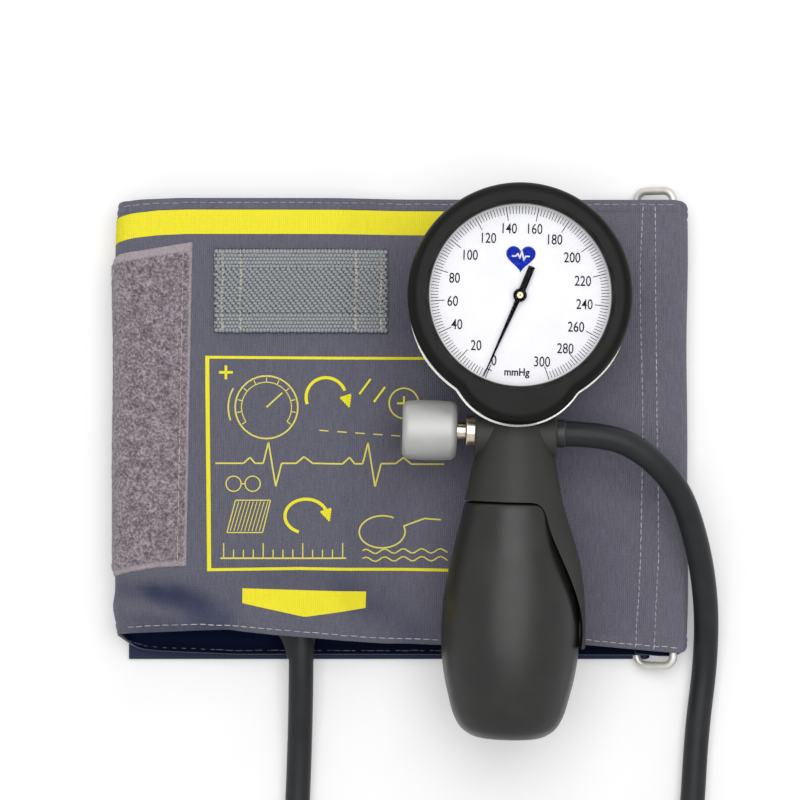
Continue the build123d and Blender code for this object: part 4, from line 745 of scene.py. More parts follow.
# What each finish's function is given. A colour is its red, green and blue as in a picture, or the name
# of one of the panel's colours with a share that makes it darker or lighter.
THREAD_GRAIN = (0.8, 3000.0)
FINISHES = {
    # The cloths' third colour is painted shade, and the navy of their edges by the hems
    "cuff cloth": (canvas_material, ("cloth_colour", 0.84), ("cloth_colour", 1.42), (36, 44, 78), 165.0,
                   0.00008, 0.85, {"Sheen_Weight": 0.15, "Specular_IOR_Level": 0.25}),
    "lining cloth": (canvas_material, ("lining_colour", 0.6), ("lining_colour", 1.2), ("lining_colour", 0.48),
                     220.0, 0.00005, 0.6, {"Specular_IOR_Level": 0.04}),
    "bladder rubber": (moulded_material, (58, 58, 64), (70, 70, 76), 0.55),
    "loop pile": (pile_material, (98, 86, 93), (143, 130, 138), (188, 177, 184)),
    "pile fuzz": (moulded_material, (176, 166, 173), (206, 199, 204), 0.9, 3000.0),
    "hook tape": (moulded_material, (60, 60, 72), (84, 84, 98), 0.7, 900.0, 0.0006),
    "strap webbing": (webbing_material, (16, 19, 22), (160, 164, 168)),
    "strap thread": (moulded_material, (164, 160, 150), (212, 207, 194), *THREAD_GRAIN),
    "hem thread": (moulded_material, (158, 158, 167), (204, 204, 211), *THREAD_GRAIN),
    "navy thread": (moulded_material, (66, 72, 96), (100, 106, 128), *THREAD_GRAIN),
    "grey thread": (moulded_material, (148, 148, 157), (198, 198, 205), *THREAD_GRAIN),
    "print yellow": (ink_material, ("print_colour", 1.0), 0.7, 165.0),
    "print pale": (ink_material, (236, 225, 110), 0.7, 165.0),
    "nickel wire": (moulded_material, (206, 203, 197), (226, 223, 217), 0.35, 2000.0, 0.000006,
                    {"Metallic": 0.45}),
    "brass": (metal_material, (176, 142, 84), (214, 182, 118), 0.28),
    "steel": (metal_material, (150, 150, 152), (190, 190, 192), 0.3),
    "case metal": (moulded_material, (40, 40, 40), (52, 52, 52), 0.42, 1800.0),
    "trim metal": (metal_material, (178, 176, 172), (210, 208, 203), 0.42),
    "guard rubber": (moulded_material, ("rubber_colour", 0.2), ("rubber_colour", 0.3), 0.38, 2600.0,
                     0.00002, {"Specular_IOR_Level": 0.12}),
    "lens clear": (lens_material, 0.02, 1.09),
    "dial white": (moulded_material, (214, 214, 219), (221, 221, 225), 0.5, 2000.0, 0.000004,
                   {"Specular_IOR_Level": 0.2}),
    "pointer black": (moulded_material, (10, 10, 12), (18, 18, 20), 0.6, 2200.0, 0.000001,
                      {"Specular_IOR_Level": 0.0}),
    "lens ring black": (moulded_material, (28, 28, 28), (40, 40, 40), 0.6),
    "handle plastic": (moulded_material, ("rubber_colour", 1.15), ("rubber_colour", 1.5), 0.55, 2400.0,
                       0.00003, {"Specular_IOR_Level": 0.3}),
    "bulb rubber": (moulded_material, ("rubber_colour", 0.35), ("rubber_colour", 0.6), 0.4, 1900.0, 0.00003,
                    {"Specular_IOR_Level": 0.42}),
    "knob metal": (moulded_material, (176, 177, 175), (189, 190, 188), 0.5, 2600.0, 0.000006,
                   {"Metallic": 0.3}),
    "collar nickel": (metal_material, (186, 172, 158), (216, 204, 190), 0.25),
    "hose rubber": (moulded_material, (34, 36, 39), (43, 45, 48), 0.42, 1600.0, 0.00002,
                    {"Specular_IOR_Level": 0.2}),
    "socket plastic": (moulded_material, (24, 24, 25), (34, 34, 35), 0.5),
    "flap rubber": (moulded_material, (130, 60, 50), (150, 76, 62), 0.5),
    "dial ink": (ink_material, (36, 33, 35), 0.5),
    "mark blue": (ink_material, (12, 36, 150), 0.5),
    "window brown": (moulded_material, (88, 72, 68), (120, 102, 98), 0.4),
}


def read_colour(given):
    """The linear colour that an entry of the finishes stands for."""
    if isinstance(given[0], str):
        return scaled(getattr(bpy.context.scene.cuff_look, given[0]), given[1])
    return srgb(*given)


def material(name):
    """The finish of that name, made the first time that it is asked for."""
    if name in bpy.data.materials:
        return bpy.data.materials[name]
    make, *values = FINISHES[name]
    sockets = values.pop() if isinstance(values[-1], dict) else {}
    return make(name, *[read_colour(value) if isinstance(value, tuple) else value for value in values],
                **sockets)


class CuffLook(bpy.types.PropertyGroup):
    """Sizes and colours of the finish."""

    cloth_colour: FloatVectorProperty(
        name="Cuff cloth", description="Colour of the woven outside of the cuff", subtype="COLOR", size=3,
        min=0, max=1, default=srgb(104, 103, 115)[:3])
    lining_colour: FloatVectorProperty(
        name="Lining", description="Colour of the coated inside of the cuff", subtype="COLOR", size=3,
        min=0, max=1, default=srgb(7, 15, 42)[:3])
    print_colour: FloatVectorProperty(
        name="Print", description="Colour of the printed band, frame and label", subtype="COLOR", size=3,
        min=0, max=1, default=srgb(250, 238, 60)[:3])
    rubber_colour: FloatVectorProperty(
        name="Rubber", description="Colour of the gauge's guard, the handle and the bulb",
        subtype="COLOR", size=3, min=0, max=1, default=srgb(40, 40, 38)[:3])
    crease_depth: FloatProperty(
        name="Crease depth", description="How strongly the front panel is creased, 1 as in the photograph",
        min=0, max=2, default=1.0)
    stitch_length: FloatProperty(
        name="Stitch length", description="Distance from one hem stitch to the next, in millimetres",
        min=1, max=6, default=2.7)
    strap_weave: FloatProperty(
        name="Strap weave", description="Distance between the strap's border ribs, in millimetres",
        min=0.6, max=3, default=1.1)
    fuzz_strands: IntProperty(
        name="Pile strands", description="Number of loose strands on the pile patch",
        min=0, max=8000, default=3200)


class CameraLook(bpy.types.PropertyGroup):
    """The view and the light."""

    height: FloatProperty(name="Camera height", description="Distance of the camera over the table",
                          unit="LENGTH", default=1.0, min=0.3, max=3)
    focal_length: FloatProperty(name="Focal length", description="The camera's lens, in millimetres",
                                default=145.68, min=20, max=300)
    world_strength: FloatProperty(name="Surrounding light", description="Strength of the even white light",
                                  default=0.38, min=0, max=2)
    lamp_power: FloatProperty(name="Lamp power", description="Power of the large soft lamp, in watts",
                              default=11.5, min=0, max=200)


class CUFF_OT_camera(bpy.types.Operator):
    """Place the camera straight over the cuff"""

    bl_idname = "cuffgauge.camera"
    bl_label = "Camera"

    def execute(self, context):
        look = context.scene.camera_look
        data = bpy.data.cameras.new("Overhead camera")
        data.lens = look.focal_length
        data.sensor_width = 36
        data.clip_end = 20
        camera = bpy.data.objects.new("Overhead camera", data)
        camera.location = (*VIEW_CENTRE, look.height)
        context.scene.collection.objects.link(camera)
        context.scene.camera = camera
        return {"FINISHED"}


class CUFF_OT_hose(bpy.types.Operator):
    """Lay the hose from the gauge's socket to the port in the cuff"""

    bl_idname = "cuffgauge.hose"
    bl_label = "Hose"

    def execute(self, context):
        curve = bpy.data.curves.new("hose_tube", "CURVE")
        curve.dimensions = "3D"
        spline = curve.splines.new("NURBS")
        spline.points.add(len(HOSE_POINTS) - 1)
        for point, place in zip(spline.points, HOSE_POINTS):
            point.co = (*place, 1.0)
        spline.order_u = 3
        spline.use_endpoint_u = True
        spline.resolution_u = 10
        curve.bevel_depth = HOSE_DIAMETER / 2
        curve.bevel_resolution = 7
        curve.use_fill_caps = True
        curve.materials.append(material("hose rubber"))
        hose = bpy.data.objects.new("hose_tube", curve)
        context.scene.collection.objects.link(hose)
        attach(hose, "base")
        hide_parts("hose")
        # A flat moulded boot where the hose leaves the sleeve
        profile = eased([(8.6, 4.4), (7.6, 5.3), (6.2, 6.6), (5.0, 8.6), (4.25, 11.2), (3.88, 14.5)], 4)
        boot = turned("hose_boot", profile, 56)
        give_wall(boot, 0.25, 1)
        flat = Matrix.Diagonal((1.0, 0.5, 1, 1))
        lean = Matrix(((1, 0, 0.14, -0.0021), (0, 1, 0, 0), (0, 0, 1, 0), (0, 0, 0, 1)))
        place = Matrix.Translation(BOOT_PLACE) @ Matrix.Rotation(radians(90), 4, "X")
        settle(boot, "base", material("hose rubber"), place @ lean @ flat)
        return {"FINISHED"}


class CUFF_OT_stage(bpy.types.Operator):
    """Add the white table, the two soft lamps and the even light round the object"""

    bl_idname = "cuffgauge.stage"
    bl_label = "Stage"

    def execute(self, context):
        look = context.scene.camera_look
        scene = context.scene
        scene.view_settings.view_transform = "Standard"
        corners = [(x * TABLE_REACH, y * TABLE_REACH, TABLE_Z)
                   for x, y in ((-1, -1), (1, -1), (1, 1), (-1, 1))]
        table = new_mesh("table_top", corners, [(0, 1, 2, 3)])
        made, tree, shader, colour = blank_material("table white", 0.9, Specular_IOR_Level=0.1)
        paper = noise(tree, object_place(tree), 40.0)
        tree.links.new(tinted(tree, paper, (0.9, 0.9, 0.905, 1), (0.92, 0.92, 0.925, 1), 0.3, 0.7), colour)
        glow = node(tree, "Emission", {"Color": (1, 1, 1, 1),
                                       "Strength": maths(tree, "MULTIPLY", seen_ray(tree), TABLE_GLOW)})
        both = node(tree, "AddShader", {0: shader.outputs[0], 1: glow.outputs[0]})
        tree.links.new(both.outputs[0], tree.nodes["Material Output"].inputs["Surface"])
        table.data.materials.append(made)
        world = bpy.data.worlds.new("Even light")
        world.use_nodes = True
        sky = world.node_tree
        surround = sky.nodes["Background"].inputs
        surround["Color"].default_value = (1, 1, 1, 1)
        level = node(sky, "Mix", {0: seen_ray(sky), 2: look.world_strength, 3: 1.0}, data_type="FLOAT")
        sky.links.new(level.outputs[0], surround["Strength"])
        scene.world = world
        for name, place, size, power in (
                ("Large soft lamp", (0.05, 0.24, 1.25), 1.2, look.lamp_power),
                ("Lamp over the top edge", (0.15, 1.1, 0.75), 0.8, look.lamp_power * TOP_LAMP_SHARE)):
            data = bpy.data.lights.new(name, "AREA")
            data.size = size
            data.energy = power
            lamp = bpy.data.objects.new(name, data)
            lamp.location = place
            lamp.rotation_euler = (-Vector(place)).to_track_quat("-Z", "Y").to_euler()
            scene.collection.objects.link(lamp)
        return {"FINISHED"}


def hem_rows(width):
    """Rows from one hem to the other, closer together at both, in shares of the width."""
    near = [0.0, 0.35, 0.8, 1.5, 2.4, 3.3, 3.7, 4.1, 5.0, 6.5]
    rows = near + evenly(8.0, width - 8.0, 62) + [width - value for value in reversed(near)]
    return [row / width for row in rows]


def hem_shape(y, low, high):
    """The hem's turned-in edge: rounded off, a little raised, with a groove where it ends."""
    near = min(y - low, high - y)
    edge = -0.28 * (1 - smooth(0.0, 0.9, near))
    raised = 0.16 * (1 - smooth(3.0, 3.6, near))
    return edge + raised - 0.18 * swell(near, 3.7, 0.45) - 0.2 * swell(near, 1.5, 0.5)


def cuff_sheet(name, line, thickness, hems):
    """One of the cuff's cloths from hem to hem, along the whole of its line."""

    def place(far, share):
        x = line.at(far)[0].x
        low, high = hem_edges(line, far, x)
        return x, low + (high - low) * share, low, high

    def spot(far, share):
        _, y, low, high = place(far, share)
        return cloth_point(line, far, y, hem_shape(y, low, high) if hems else 0.0)

    def worn(far, share):
        x, y, low, _ = place(far, share)
        # Painted shade, partly the cloth's navy edge, on the low strips of the turned-in part and of the tail
        if y < low + 5.0 and (far < line.far[line.front_start] - 4.0 or far > line.wrap):
            return 1.0
        # Painted shade, partly the navy edge, along the low hem of the layer under the front
        if far > line.fold + 4.0:
            return smooth(line.fold + 4.0, line.fold + 16.0, far) if y < low + 3.0 else 0.0
        # Painted shade on the front: broad towards the left, in its creases, and low down on the left by the
        # hem
        left_shade = 0.16 * (1 - smooth(-20.0, 50.0, x))
        valley = smooth(-0.3, 2.2, -crease_sum(max(x, -86.0), y, 1.7))
        left = 1 - smooth(-56.0, -42.0, x)
        low_part = 1 - smooth(-36.5, -33.5, y)
        hem_shade = (1 - smooth(-51.0, -45.0, y)) * smooth(-84.0, -76.0, x)
        return left_shade + (0.08 + 0.32 * hem_shade + 0.7 * valley) * left * low_part + 0.8 * valley * (1 - left)

    shares = hem_rows(140.0)
    cloth = sheet_mesh(name, line.far, shares, spot, lambda far, share: (far / 100, share * 1.4))
    # Keeps the painted shade and the navy hem edges on the cloth's points
    keep_values(cloth, "worn", [worn(far, share) for far in line.far for share in shares])
    give_wall(cloth, thickness, 0)
    smooth_faces(cloth, 60)
    return cloth


class CUFF_OT_cloth(bpy.types.Operator):
    """Fold the cuff's outer cloth and lining, with its bladder between them"""

    bl_idname = "cuffgauge.cloth"
    bl_label = "Cuff Cloth"

    def execute(self, context):
        outer = cuff_sheet("cuff_outer_cloth", OUTER, OUTER_THICK, True)
        settle(outer, "base", material("cuff cloth"))
        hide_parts("cuff_outer", "seam_allowance")
        lining = cuff_sheet("cuff_lining_cloth", LINING, LINING_THICK, False)
        settle(lining, "base", material("lining cloth"))
        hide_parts("cuff_lining")
        start = LINING.far_at(BLADDER_RIGHT)
        end = LINING.fold + 6.0

        def spot(far, y):
            edge = min(far - start, end - far, y - BLADDER_LOW, BLADDER_HIGH - y)
            return cloth_point(LINING, far, y, 1.4 - 0.3 * (1 - smooth(0.0, 5.0, edge)))

        bladder = sheet_mesh("bladder_bag", evenly(start, end, 110), evenly(BLADDER_LOW, BLADDER_HIGH, 40),
                             spot)
        give_wall(bladder, BLADDER_THICK, 0)
        smooth_faces(bladder, 60)
        settle(bladder, "base", material("bladder rubber"))
        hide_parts("bladder")
        return {"FINISHED"}


def drawn_line(points, width):
    """A line printed on the front of the cuff: its points and quads, with X and Y in mm."""
    samples = [Vector(points[0])]
    for start, end in zip(points, points[1:]):
        run = Vector(end) - Vector(start)
        count = max(1, round(run.length / PRINT_STEP))
        samples += [Vector(start) + run * (step + 1) / count for step in range(count)]
    spots = []
    for index, here in enumerate(samples):
        ahead = samples[min(index + 1, len(samples) - 1)]
        behind = samples[max(index - 1, 0)]
        way = (ahead - behind).normalized()
        side = Vector((-way.y, way.x)) * width / 2
        spots += [here + side, here, here - side]
    return spots, grid_faces(len(samples), 3)


def drawn_lines(points, width):
    """Lines from each point to the next, each with its own ends, so that the corners stay sharp."""
    return [drawn_line([start, end], width) for start, end in zip(points, points[1:])]


def printed_area(top, bottom, start_x, end_x):
    """A printed area between two edges that are tables of X and Y, as its points and quads."""
    count = round((end_x - start_x) / PRINT_STEP)
    spots = []
    for x in evenly(start_x, end_x, count):
        low, high = along(bottom, x), along(top, x)
        spots += [(x, y) for y in evenly(low, high, AREA_ROWS)]
    return spots, grid_faces(count + 1, AREA_ROWS + 1)


def arc(centre_x, centre_y, radius, start, end, squash=1.0):
    """Points of an arc in mm, from one angle to another in degrees."""
    return [(centre_x + radius * cos(radians(angle)), centre_y + squash * radius * sin(radians(angle)))
            for angle in evenly(start, end, max(6, round(abs(end - start) / 9)))]


def arrow_head(x, y, angle, size):
    """A solid arrow head that points along the angle, as printed strokes that narrow to its tip."""
    way = Vector((cos(radians(angle)), sin(radians(angle)))) * size / 5
    return [drawn_line([Vector((x, y)) + way * step, Vector((x, y)) + way * (step + 1.15)],
                       size * 0.95 * (1 - step / 5)) for step in range(5)]


def printed(name, shade, shapes):
    """One printed piece made of several shapes, facing up off the cloth."""
    spots = []
    faces = []
    for shape_spots, shape_faces in shapes:
        faces += [tuple(len(spots) + index for index in face) for face in shape_faces]
        spots += shape_spots
    piece = new_mesh(name, [on_front(x, y, INK_LIFT) for x, y in spots], faces,
                     [weave_mark(OUTER.far_at(x), y) for x, y in spots])
    for polygon in piece.data.polygons:
        if polygon.normal.z < 0:
            polygon.flip()
    give_wall(piece, INK_THICK, -1)
    smooth_faces(piece, 60)
    settle(piece, "base", material(shade))


class CUFF_OT_prints(bpy.types.Operator):
    """Print the band, the frame with its plain drawing and the label on the cuff"""

    bl_idname = "cuffgauge.prints"
    bl_label = "Prints"

    def execute(self, context):
        band_top = [(-99.0, 69.5), (-92.0, 71.8), (-86.0, 73.6), (-80.0, 74.9), (-73.0, 75.7), (-64.0, 76.0),
                    (40.0, 75.8)]
        band_bottom = [(-99.0, 61.5), (-92.0, 64.0), (-86.0, 66.0), (-80.0, 67.4), (-73.0, 68.2),
                       (-64.0, 68.6), (40.0, 68.5)]
        printed("print_band", "print yellow", [printed_area(band_top, band_bottom, -97.0, 38.0)])
        printed("print_frame", "print yellow",
                [drawn_line([(-58.0, 31.2), (-57.4, -33.6)], 1.25),
                 drawn_line([(-58.6, 31.2), (-20.0, 30.9), (10.0, 30.9)], 0.85),
                 drawn_line([(-58.0, -33.3), (-30.0, -32.9), (20.0, -33.9)], 0.9)])
        label_top = [(-47.3, -38.9), (-9.8, -40.1)]
        label_bottom = [(-47.3, -43.4), (-28.4, -47.6), (-9.8, -45.1)]
        printed("print_label", "print yellow", [printed_area(label_top, label_bottom, -47.3, -9.8)])
        printed("print_drawing_thin", "print pale", self.thin_lines())
        bold = [drawn_line(points, width) for width, points in (
            (0.95, arc(-22.0, 19.0, 6.0, 200, 20)), (0.95, arc(-28.0, -17.0, 6.4, 250, 20, 0.8)),
            (0.6, [(-12.0, 20.0), (-8.6, 24.6)]), (0.6, [(-7.6, 17.6), (-4.2, 22.2)]),
            (0.8, [(-54.4, 26.6), (-50.2, 26.6)]), (0.8, [(-52.3, 24.5), (-52.3, 28.7)]),
            (0.6, [(-0.6, 17.2), (3.8, 17.2)]), (0.6, [(1.6, 15.0), (1.6, 19.4)]))]
        bold += arrow_head(-16.2, 19.6, -72, 3.6) + arrow_head(-22.1, -15.0, -72, 3.6)
        printed("print_drawing_bold", "print yellow", bold)
        return {"FINISHED"}

    def thin_lines(self):
        """A plain drawing of the kind: a dial, a pulse line, a ruler, a hatched patch, a bulb and waves."""
        thin = 0.48
        dial_x, dial_y = -40.0, 16.0
        lines = [drawn_line(arc(dial_x, dial_y, 9.5, 0, 360), thin),
                 drawn_line(arc(dial_x, dial_y, 7.6, 215, -35), 0.3),
                 drawn_line([(dial_x, dial_y), (-35.2, 20.4)], thin)]
        for angle in evenly(215, -35, 10):
            way = Vector((cos(radians(angle)), sin(radians(angle))))
            lines.append(drawn_line([Vector((dial_x, dial_y)) + way * far for far in (7.6, 9.0)], 0.3))
        lines += drawn_lines(
            [(-55.5, -1.0), (-47.0, -1.0), (-45.0, 0.8), (-43.5, -1.0), (-41.0, -1.0), (-39.4, 5.4),
             (-37.2, -8.0), (-35.4, -1.0), (-31.0, -1.0), (-28.6, 1.0), (-26.0, -1.0), (-17.0, -1.2),
             (-15.0, 0.8), (-13.4, -1.2), (-11.0, -1.2), (-9.4, 5.2), (-7.2, -8.2), (-5.4, -1.2),
             (-1.0, -1.2), (1.4, 0.6), (4.0, -1.4), (14.0, -1.4)], thin)
        for step in range(13):
            x = -53.0 + 3.0 * step
            lines.append(drawn_line([(x, -29.8), (x, -27.2 if step % 4 else -25.2)], 0.34))
        lines.append(drawn_line([(-54.0, -29.8), (-16.0, -29.8)], thin))
        for step in range(6):
            x, y = 5.4 * step, 0.4 * step
            lines.append(drawn_line([(x - 24.0, 9.0 - y), (x - 21.2, 8.8 - y)], 0.36))
        lines += [drawn_line(arc(-5.0, -22.0, 7.0, 60, 380, 0.7), thin),
                  drawn_line([(1.4, -20.4), (8.0, -18.0), (13.0, -18.4)], thin),
                  drawn_line(arc(dial_x, dial_y, 11.6, 150, 200), thin)]
        for x in evenly(-51.0, -42.2, 8):
            lines.append(drawn_line([(x, -21.5), (x + 2.6, -12.6)], 0.26))
        patch = [(-52.0, -22.0), (-41.2, -22.0), (-38.8, -12.2), (-49.4, -12.2), (-52.0, -22.0)]
        lines += drawn_lines(patch, 0.34)
        for height in (-27.9, -30.3):
            lines += drawn_lines([(x, height + 0.7 * sin(1.1 * x)) for x in range(-11, 16)], 0.4)
        lines += [drawn_line(arc(-50.0, -7.2, 2.3, 0, 360), 0.36),
                  drawn_line(arc(-44.2, -7.2, 2.3, 0, 360), 0.36),
                  drawn_line([(-47.7, -7.2), (-46.5, -7.2)], 0.36),
                  drawn_line(arc(1.6, 17.2, 4.6, 0, 360), thin)]
        return lines


class CUFF_OT_patches(bpy.types.Operator):
    """Sew the pile patch, the hook patch and the woven strap on the cuff"""

    bl_idname = "cuffgauge.patches"
    bl_label = "Patches and Strap"

    def execute(self, context):
        look = context.scene.cuff_look
        self.pile_patch(look)
        self.hook_patch()
        self.strap(look)
        return {"FINISHED"}

    def pile_patch(self, look):
        """The napped patch round the left fold, with woven edges and loose strands."""
        rng = random.Random(5)
        start = OUTER.far_at(-62.4)
        end = OUTER.fold + 50.0
        top = [(0.0, 66.2), (22.0, 62.6), (32.0, 59.5), (100.0, 59.5)]
        bottom = [(0.0, -32.2), (10.0, -32.7), (18.0, -33.9), (24.0, -35.4), (30.0, -36.0), (100.0, -36.0)]
        columns = []
        far = start
        while far < end:
            columns.append(far)
            far += 0.55 if far < OUTER.fold + 12.0 else 3.0
        columns.append(end)
        rows = evenly(0.0, 1.0, 170)

        def edges(far, share):
            """The patch's own Y at the place, and its distance from the nearest edge."""
            low, high = along(bottom, far - start), along(top, far - start)
            y = low + (high - low) * share
            return y, min(far - start, end - far, y - low, high - y)

        def spot(far, share):
            y, gap = edges(far, share)
            nap = smooth(1.2, 2.2, gap)
            height = 0.55 + 0.5 * nap + nap * rng.uniform(-0.16, 0.16) - 0.45 * (1 - smooth(0.0, 0.5, gap))
            # The right edge runs a little to the left on its way down
            slant = 1.9 * (1 - share) * max(0.0, 1 - (far - start) / 20.0)
            return cloth_point(OUTER, far + slant, y, OUTER_THICK / 2 + height)

        def selvage(far, share):
            """How much of the plain woven edge shows: broadest along the top, narrowest on the right."""
            width = along(top, far - start) - along(bottom, far - start)
            near = min((far - start) / 0.9, (1 - share) * width / 2.6, share * width / 1.8)
            return 0.75 * (1 - smooth(0.85, 1.1, near))

        patch = sheet_mesh("pile_patch", columns, rows, spot, lambda far, share: (far / 100, share))
        smooth_faces(patch, 60)
        keep_values(patch, "selvage", [selvage(far, share) for far in columns for share in rows])
        give_wall(patch, PILE_THICK, -1)
        settle(patch, "base", material("loop pile"))
        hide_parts("loop_patch")
        # Loose strands stand off the nap and show as fuzz at the fold
        points = []
        faces = []
        for _ in range(look.fuzz_strands):
            far = rng.uniform(start + 1.4, OUTER.fold + 12.0)
            y, gap = edges(far, rng.uniform(0.02, 0.98))
            if gap < 1.0:
                continue
            height = rng.uniform(0.25, 0.75)
            lean = Vector((rng.gauss(0, 0.4), rng.gauss(0, 0.4)))
            base = cloth_point(OUTER, far, y, 1.3)
            tip = cloth_point(OUTER, far + lean.x, y + lean.y, 1.4 + height)
            bend = cloth_point(OUTER, far + lean.x * 0.2, y + lean.y * 0.2, 1.4 + height * 0.6)
            side = Vector([rng.uniform(-1, 1) for _ in range(3)]).normalized() * STRAND_RADIUS * MM
            other = (tip - base).cross(side).normalized() * STRAND_RADIUS * MM
            first = len(points)
            points += [base + side, base - side, base + other, bend + side * 0.8, bend - side * 0.8,
                       bend + other * 0.8, tip]
            faces += [tuple(first + index for index in face) for face in (
                (0, 1, 4, 3), (1, 2, 5, 4), (2, 0, 3, 5), (3, 4, 6), (4, 5, 6), (5, 3, 6))]
        settle(new_mesh("pile_strands", points, faces), "base", material("pile fuzz"))

    def hook_patch(self):
        """The stiff hook tape on the tail, under the fold."""
        left, right, low, high = -80.0, -46.0, -33.0, 64.5
        rng = random.Random(8)

        def spot(x, y):
            hooks = rng.uniform(0.2, 0.85) if min(x - left, right - x, y - low, high - y) > 1.5 else 0.0
            return Vector((x, y, 1.95 + hooks)) * MM

        patch = sheet_mesh("hook_tape", evenly(left, right, 80), evenly(low, high, 180), spot)
        smooth_faces(patch, 60)
        give_wall(patch, HOOK_TAPE_THICK, -1)
        settle(patch, "base", material("hook tape"))
        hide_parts("hook_patch")

    def strap(self, look):
        """The woven strap: ribbed borders, a diagonal twill between them and frayed cut ends."""
        pitch = look.strap_weave
        border = pitch * 5
        left, right, low, high = -55.6, -3.9, 38.9, 63.7
        rng = random.Random(3)
        heights = []

        def weave(x, y):
            """How high the rib and the thread across it stand at the place, from 0 to 1."""
            from_edge = min(high - y, y - low)
            if from_edge < border:
                row = from_edge / pitch
                across = (x - left) / (pitch * 0.94) + 0.5 * (int(row) % 2)
                return abs(sin(pi * row)) ** 0.8, abs(sin(pi * across)) ** 0.9
            row = (high - border - y) / (pitch * 0.72)
            across = (x - left - int(row) * pitch * 0.56) / (pitch * 1.5)
            return abs(sin(pi * row)) ** 0.9, abs(sin(pi * across)) ** 0.9

        def spot(x, y):
            rib, thread = weave(x, y)
            edge = min(x - left, right - x, y - low, high - y)
            height = 0.72 + 0.2 * rib * thread + 0.04 * rib - 0.35 * (1 - smooth(0.0, 0.5, edge))
            for seam in STRAP_SEAMS:
                height -= 0.25 * swell(x, seam, 0.5)
            # Kept for the painted shade between the threads, with a little random tone
            heights.append(rib * thread + rng.uniform(-0.12, 0.12))
            wave = 0.14 * sin(y * 2.1) if x - left < 0.3 or right - x < 0.3 else 0.0
            sway = 0.12 * sin(x * 1.7) if high - y < 0.2 or y - low < 0.2 else 0.0
            return on_front(x + wave, y + sway, height)

        strap = sheet_mesh("woven_strap", evenly(left, right, 330), evenly(low, high, 138), spot)
        smooth_faces(strap, 60)
        keep_values(strap, "weave_height", heights)
        give_wall(strap, STRAP_THICK, -1)
        settle(strap, "base", material("strap webbing"))
        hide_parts("webbing_strap")


class CUFF_OT_stitches(bpy.types.Operator):
    """Sew the hems, the side seams and the strap's ends"""

    bl_idname = "cuffgauge.stitches"
    bl_label = "Stitches"

    def execute(self, context):
        length = context.scene.cuff_look.stitch_length

        def over(height):
            """A function that lifts a stitch's point over the front by this height and its own lift."""
            return lambda x, y, lift: on_front(x, y, height + lift)

        low = [(x, along(FRONT_LOW_HEM, x) + gap) for x, gap in (
            (-82.5, 1.9), (-72.0, 1.95), (-60.5, 1.75), (-48.0, 1.45), (-37.7, 1.5), (-20.7, 1.5),
            (-3.5, 1.5), (12.7, 1.5), (57.0, 1.5), (72.0, 1.4), (85.6, 1.5))]
        stitch_row("stitches_low_hem", low, over(CLOTH_TOP), length, 0.34, "hem thread", 0.1)
        high = [(x, along(FRONT_HIGH_HEM, x) - 1.35) for x in (-84.0, -78.0, -66.0, -20.0, 40.0, 84.5)]
        stitch_row("stitches_high_hem", high, over(CLOTH_TOP), length, 0.26, "grey thread", 0.12)
        inner = [(74.8, 77.6), (73.95, 61.2), (73.9, 45.4), (74.5, 25.5), (74.7, 12.1), (74.4, -10.0),
                 (74.0, -30.2), (73.4, -42.4), (72.8, -50.0), (72.5, -57.6)]
        outer = [(78.5, 77.6), (78.6, 48.0), (78.8, 39.4), (79.0, 12.1), (79.4, -10.0), (79.5, -30.2),
                 (78.8, -42.4), (78.5, -50.0), (78.1, -58.2)]
        for name, line in (("inner", inner), ("outer", outer)):
            stitch_row(f"stitches_side_{name}", line, over(CLOTH_TOP), length * 0.8, 0.36, "hem thread", 0.14)

        def on_second(x, y, lift):
            """A point on the top of the layer under the front one."""
            layer = range(LINING.lowest, len(LINING.points))
            index = min(layer, key=lambda place: (LINING.layer(place) != 1, abs(LINING.points[place].x - x)))
            return cloth_point(LINING, LINING.far[index], y, -0.25 - lift)

        second = [(x, along(SECOND_LOW_HEM, x) + 1.3)
                  for x in (-83.0, -78.8, -73.2, -64.0, -50.0, -20.0, 30.0)]
        stitch_row("stitches_second_hem", second, on_second, length, 0.3, "navy thread", 0.1)
        for number, (x, top, thick) in enumerate(zip(STRAP_SEAMS, (62.9, 63.5, 63.5, 62.9),
                                                     (0.6, 0.75, 0.75, 0.6))):
            line = [(x, top), (x + 0.25, 56.0), (x - 0.2, 48.0), (x + 0.1, 39.4)]
            stitch_row(f"stitches_strap_{number}", line, over(STRAP_TOP), 1.15, thick, "strap thread",
                       0.16, 0.34)
        stitch_row("stitches_patch", [(-65.2, 63.4), (-67.0, -30.6)], over(PILE_TOP), length, 0.3,
                   "strap thread", 0.06)
        return {"FINISHED"}


def on_unit(x, y, z):
    """A place in the gauge unit's own frame, with X, Y and Z in mm."""
    return UNIT @ Matrix.Translation((x * MM, y * MM, z * MM))


def flat_plate(thickness):
    """A plate a millimetre square, that thick in mm, with its middle at the origin."""
    bpy.ops.object.select_all(action="DESELECT")
    bpy.ops.mesh.primitive_plane_add(size=MM)
    plate = bpy.context.object
    bpy.ops.object.mode_set(mode="EDIT")
    bpy.ops.mesh.select_all(action="SELECT")
    bpy.ops.mesh.extrude_region_move(TRANSFORM_OT_translate={"value": (0, 0, thickness * MM)})
    bpy.ops.object.mode_set(mode="OBJECT")
    return plate


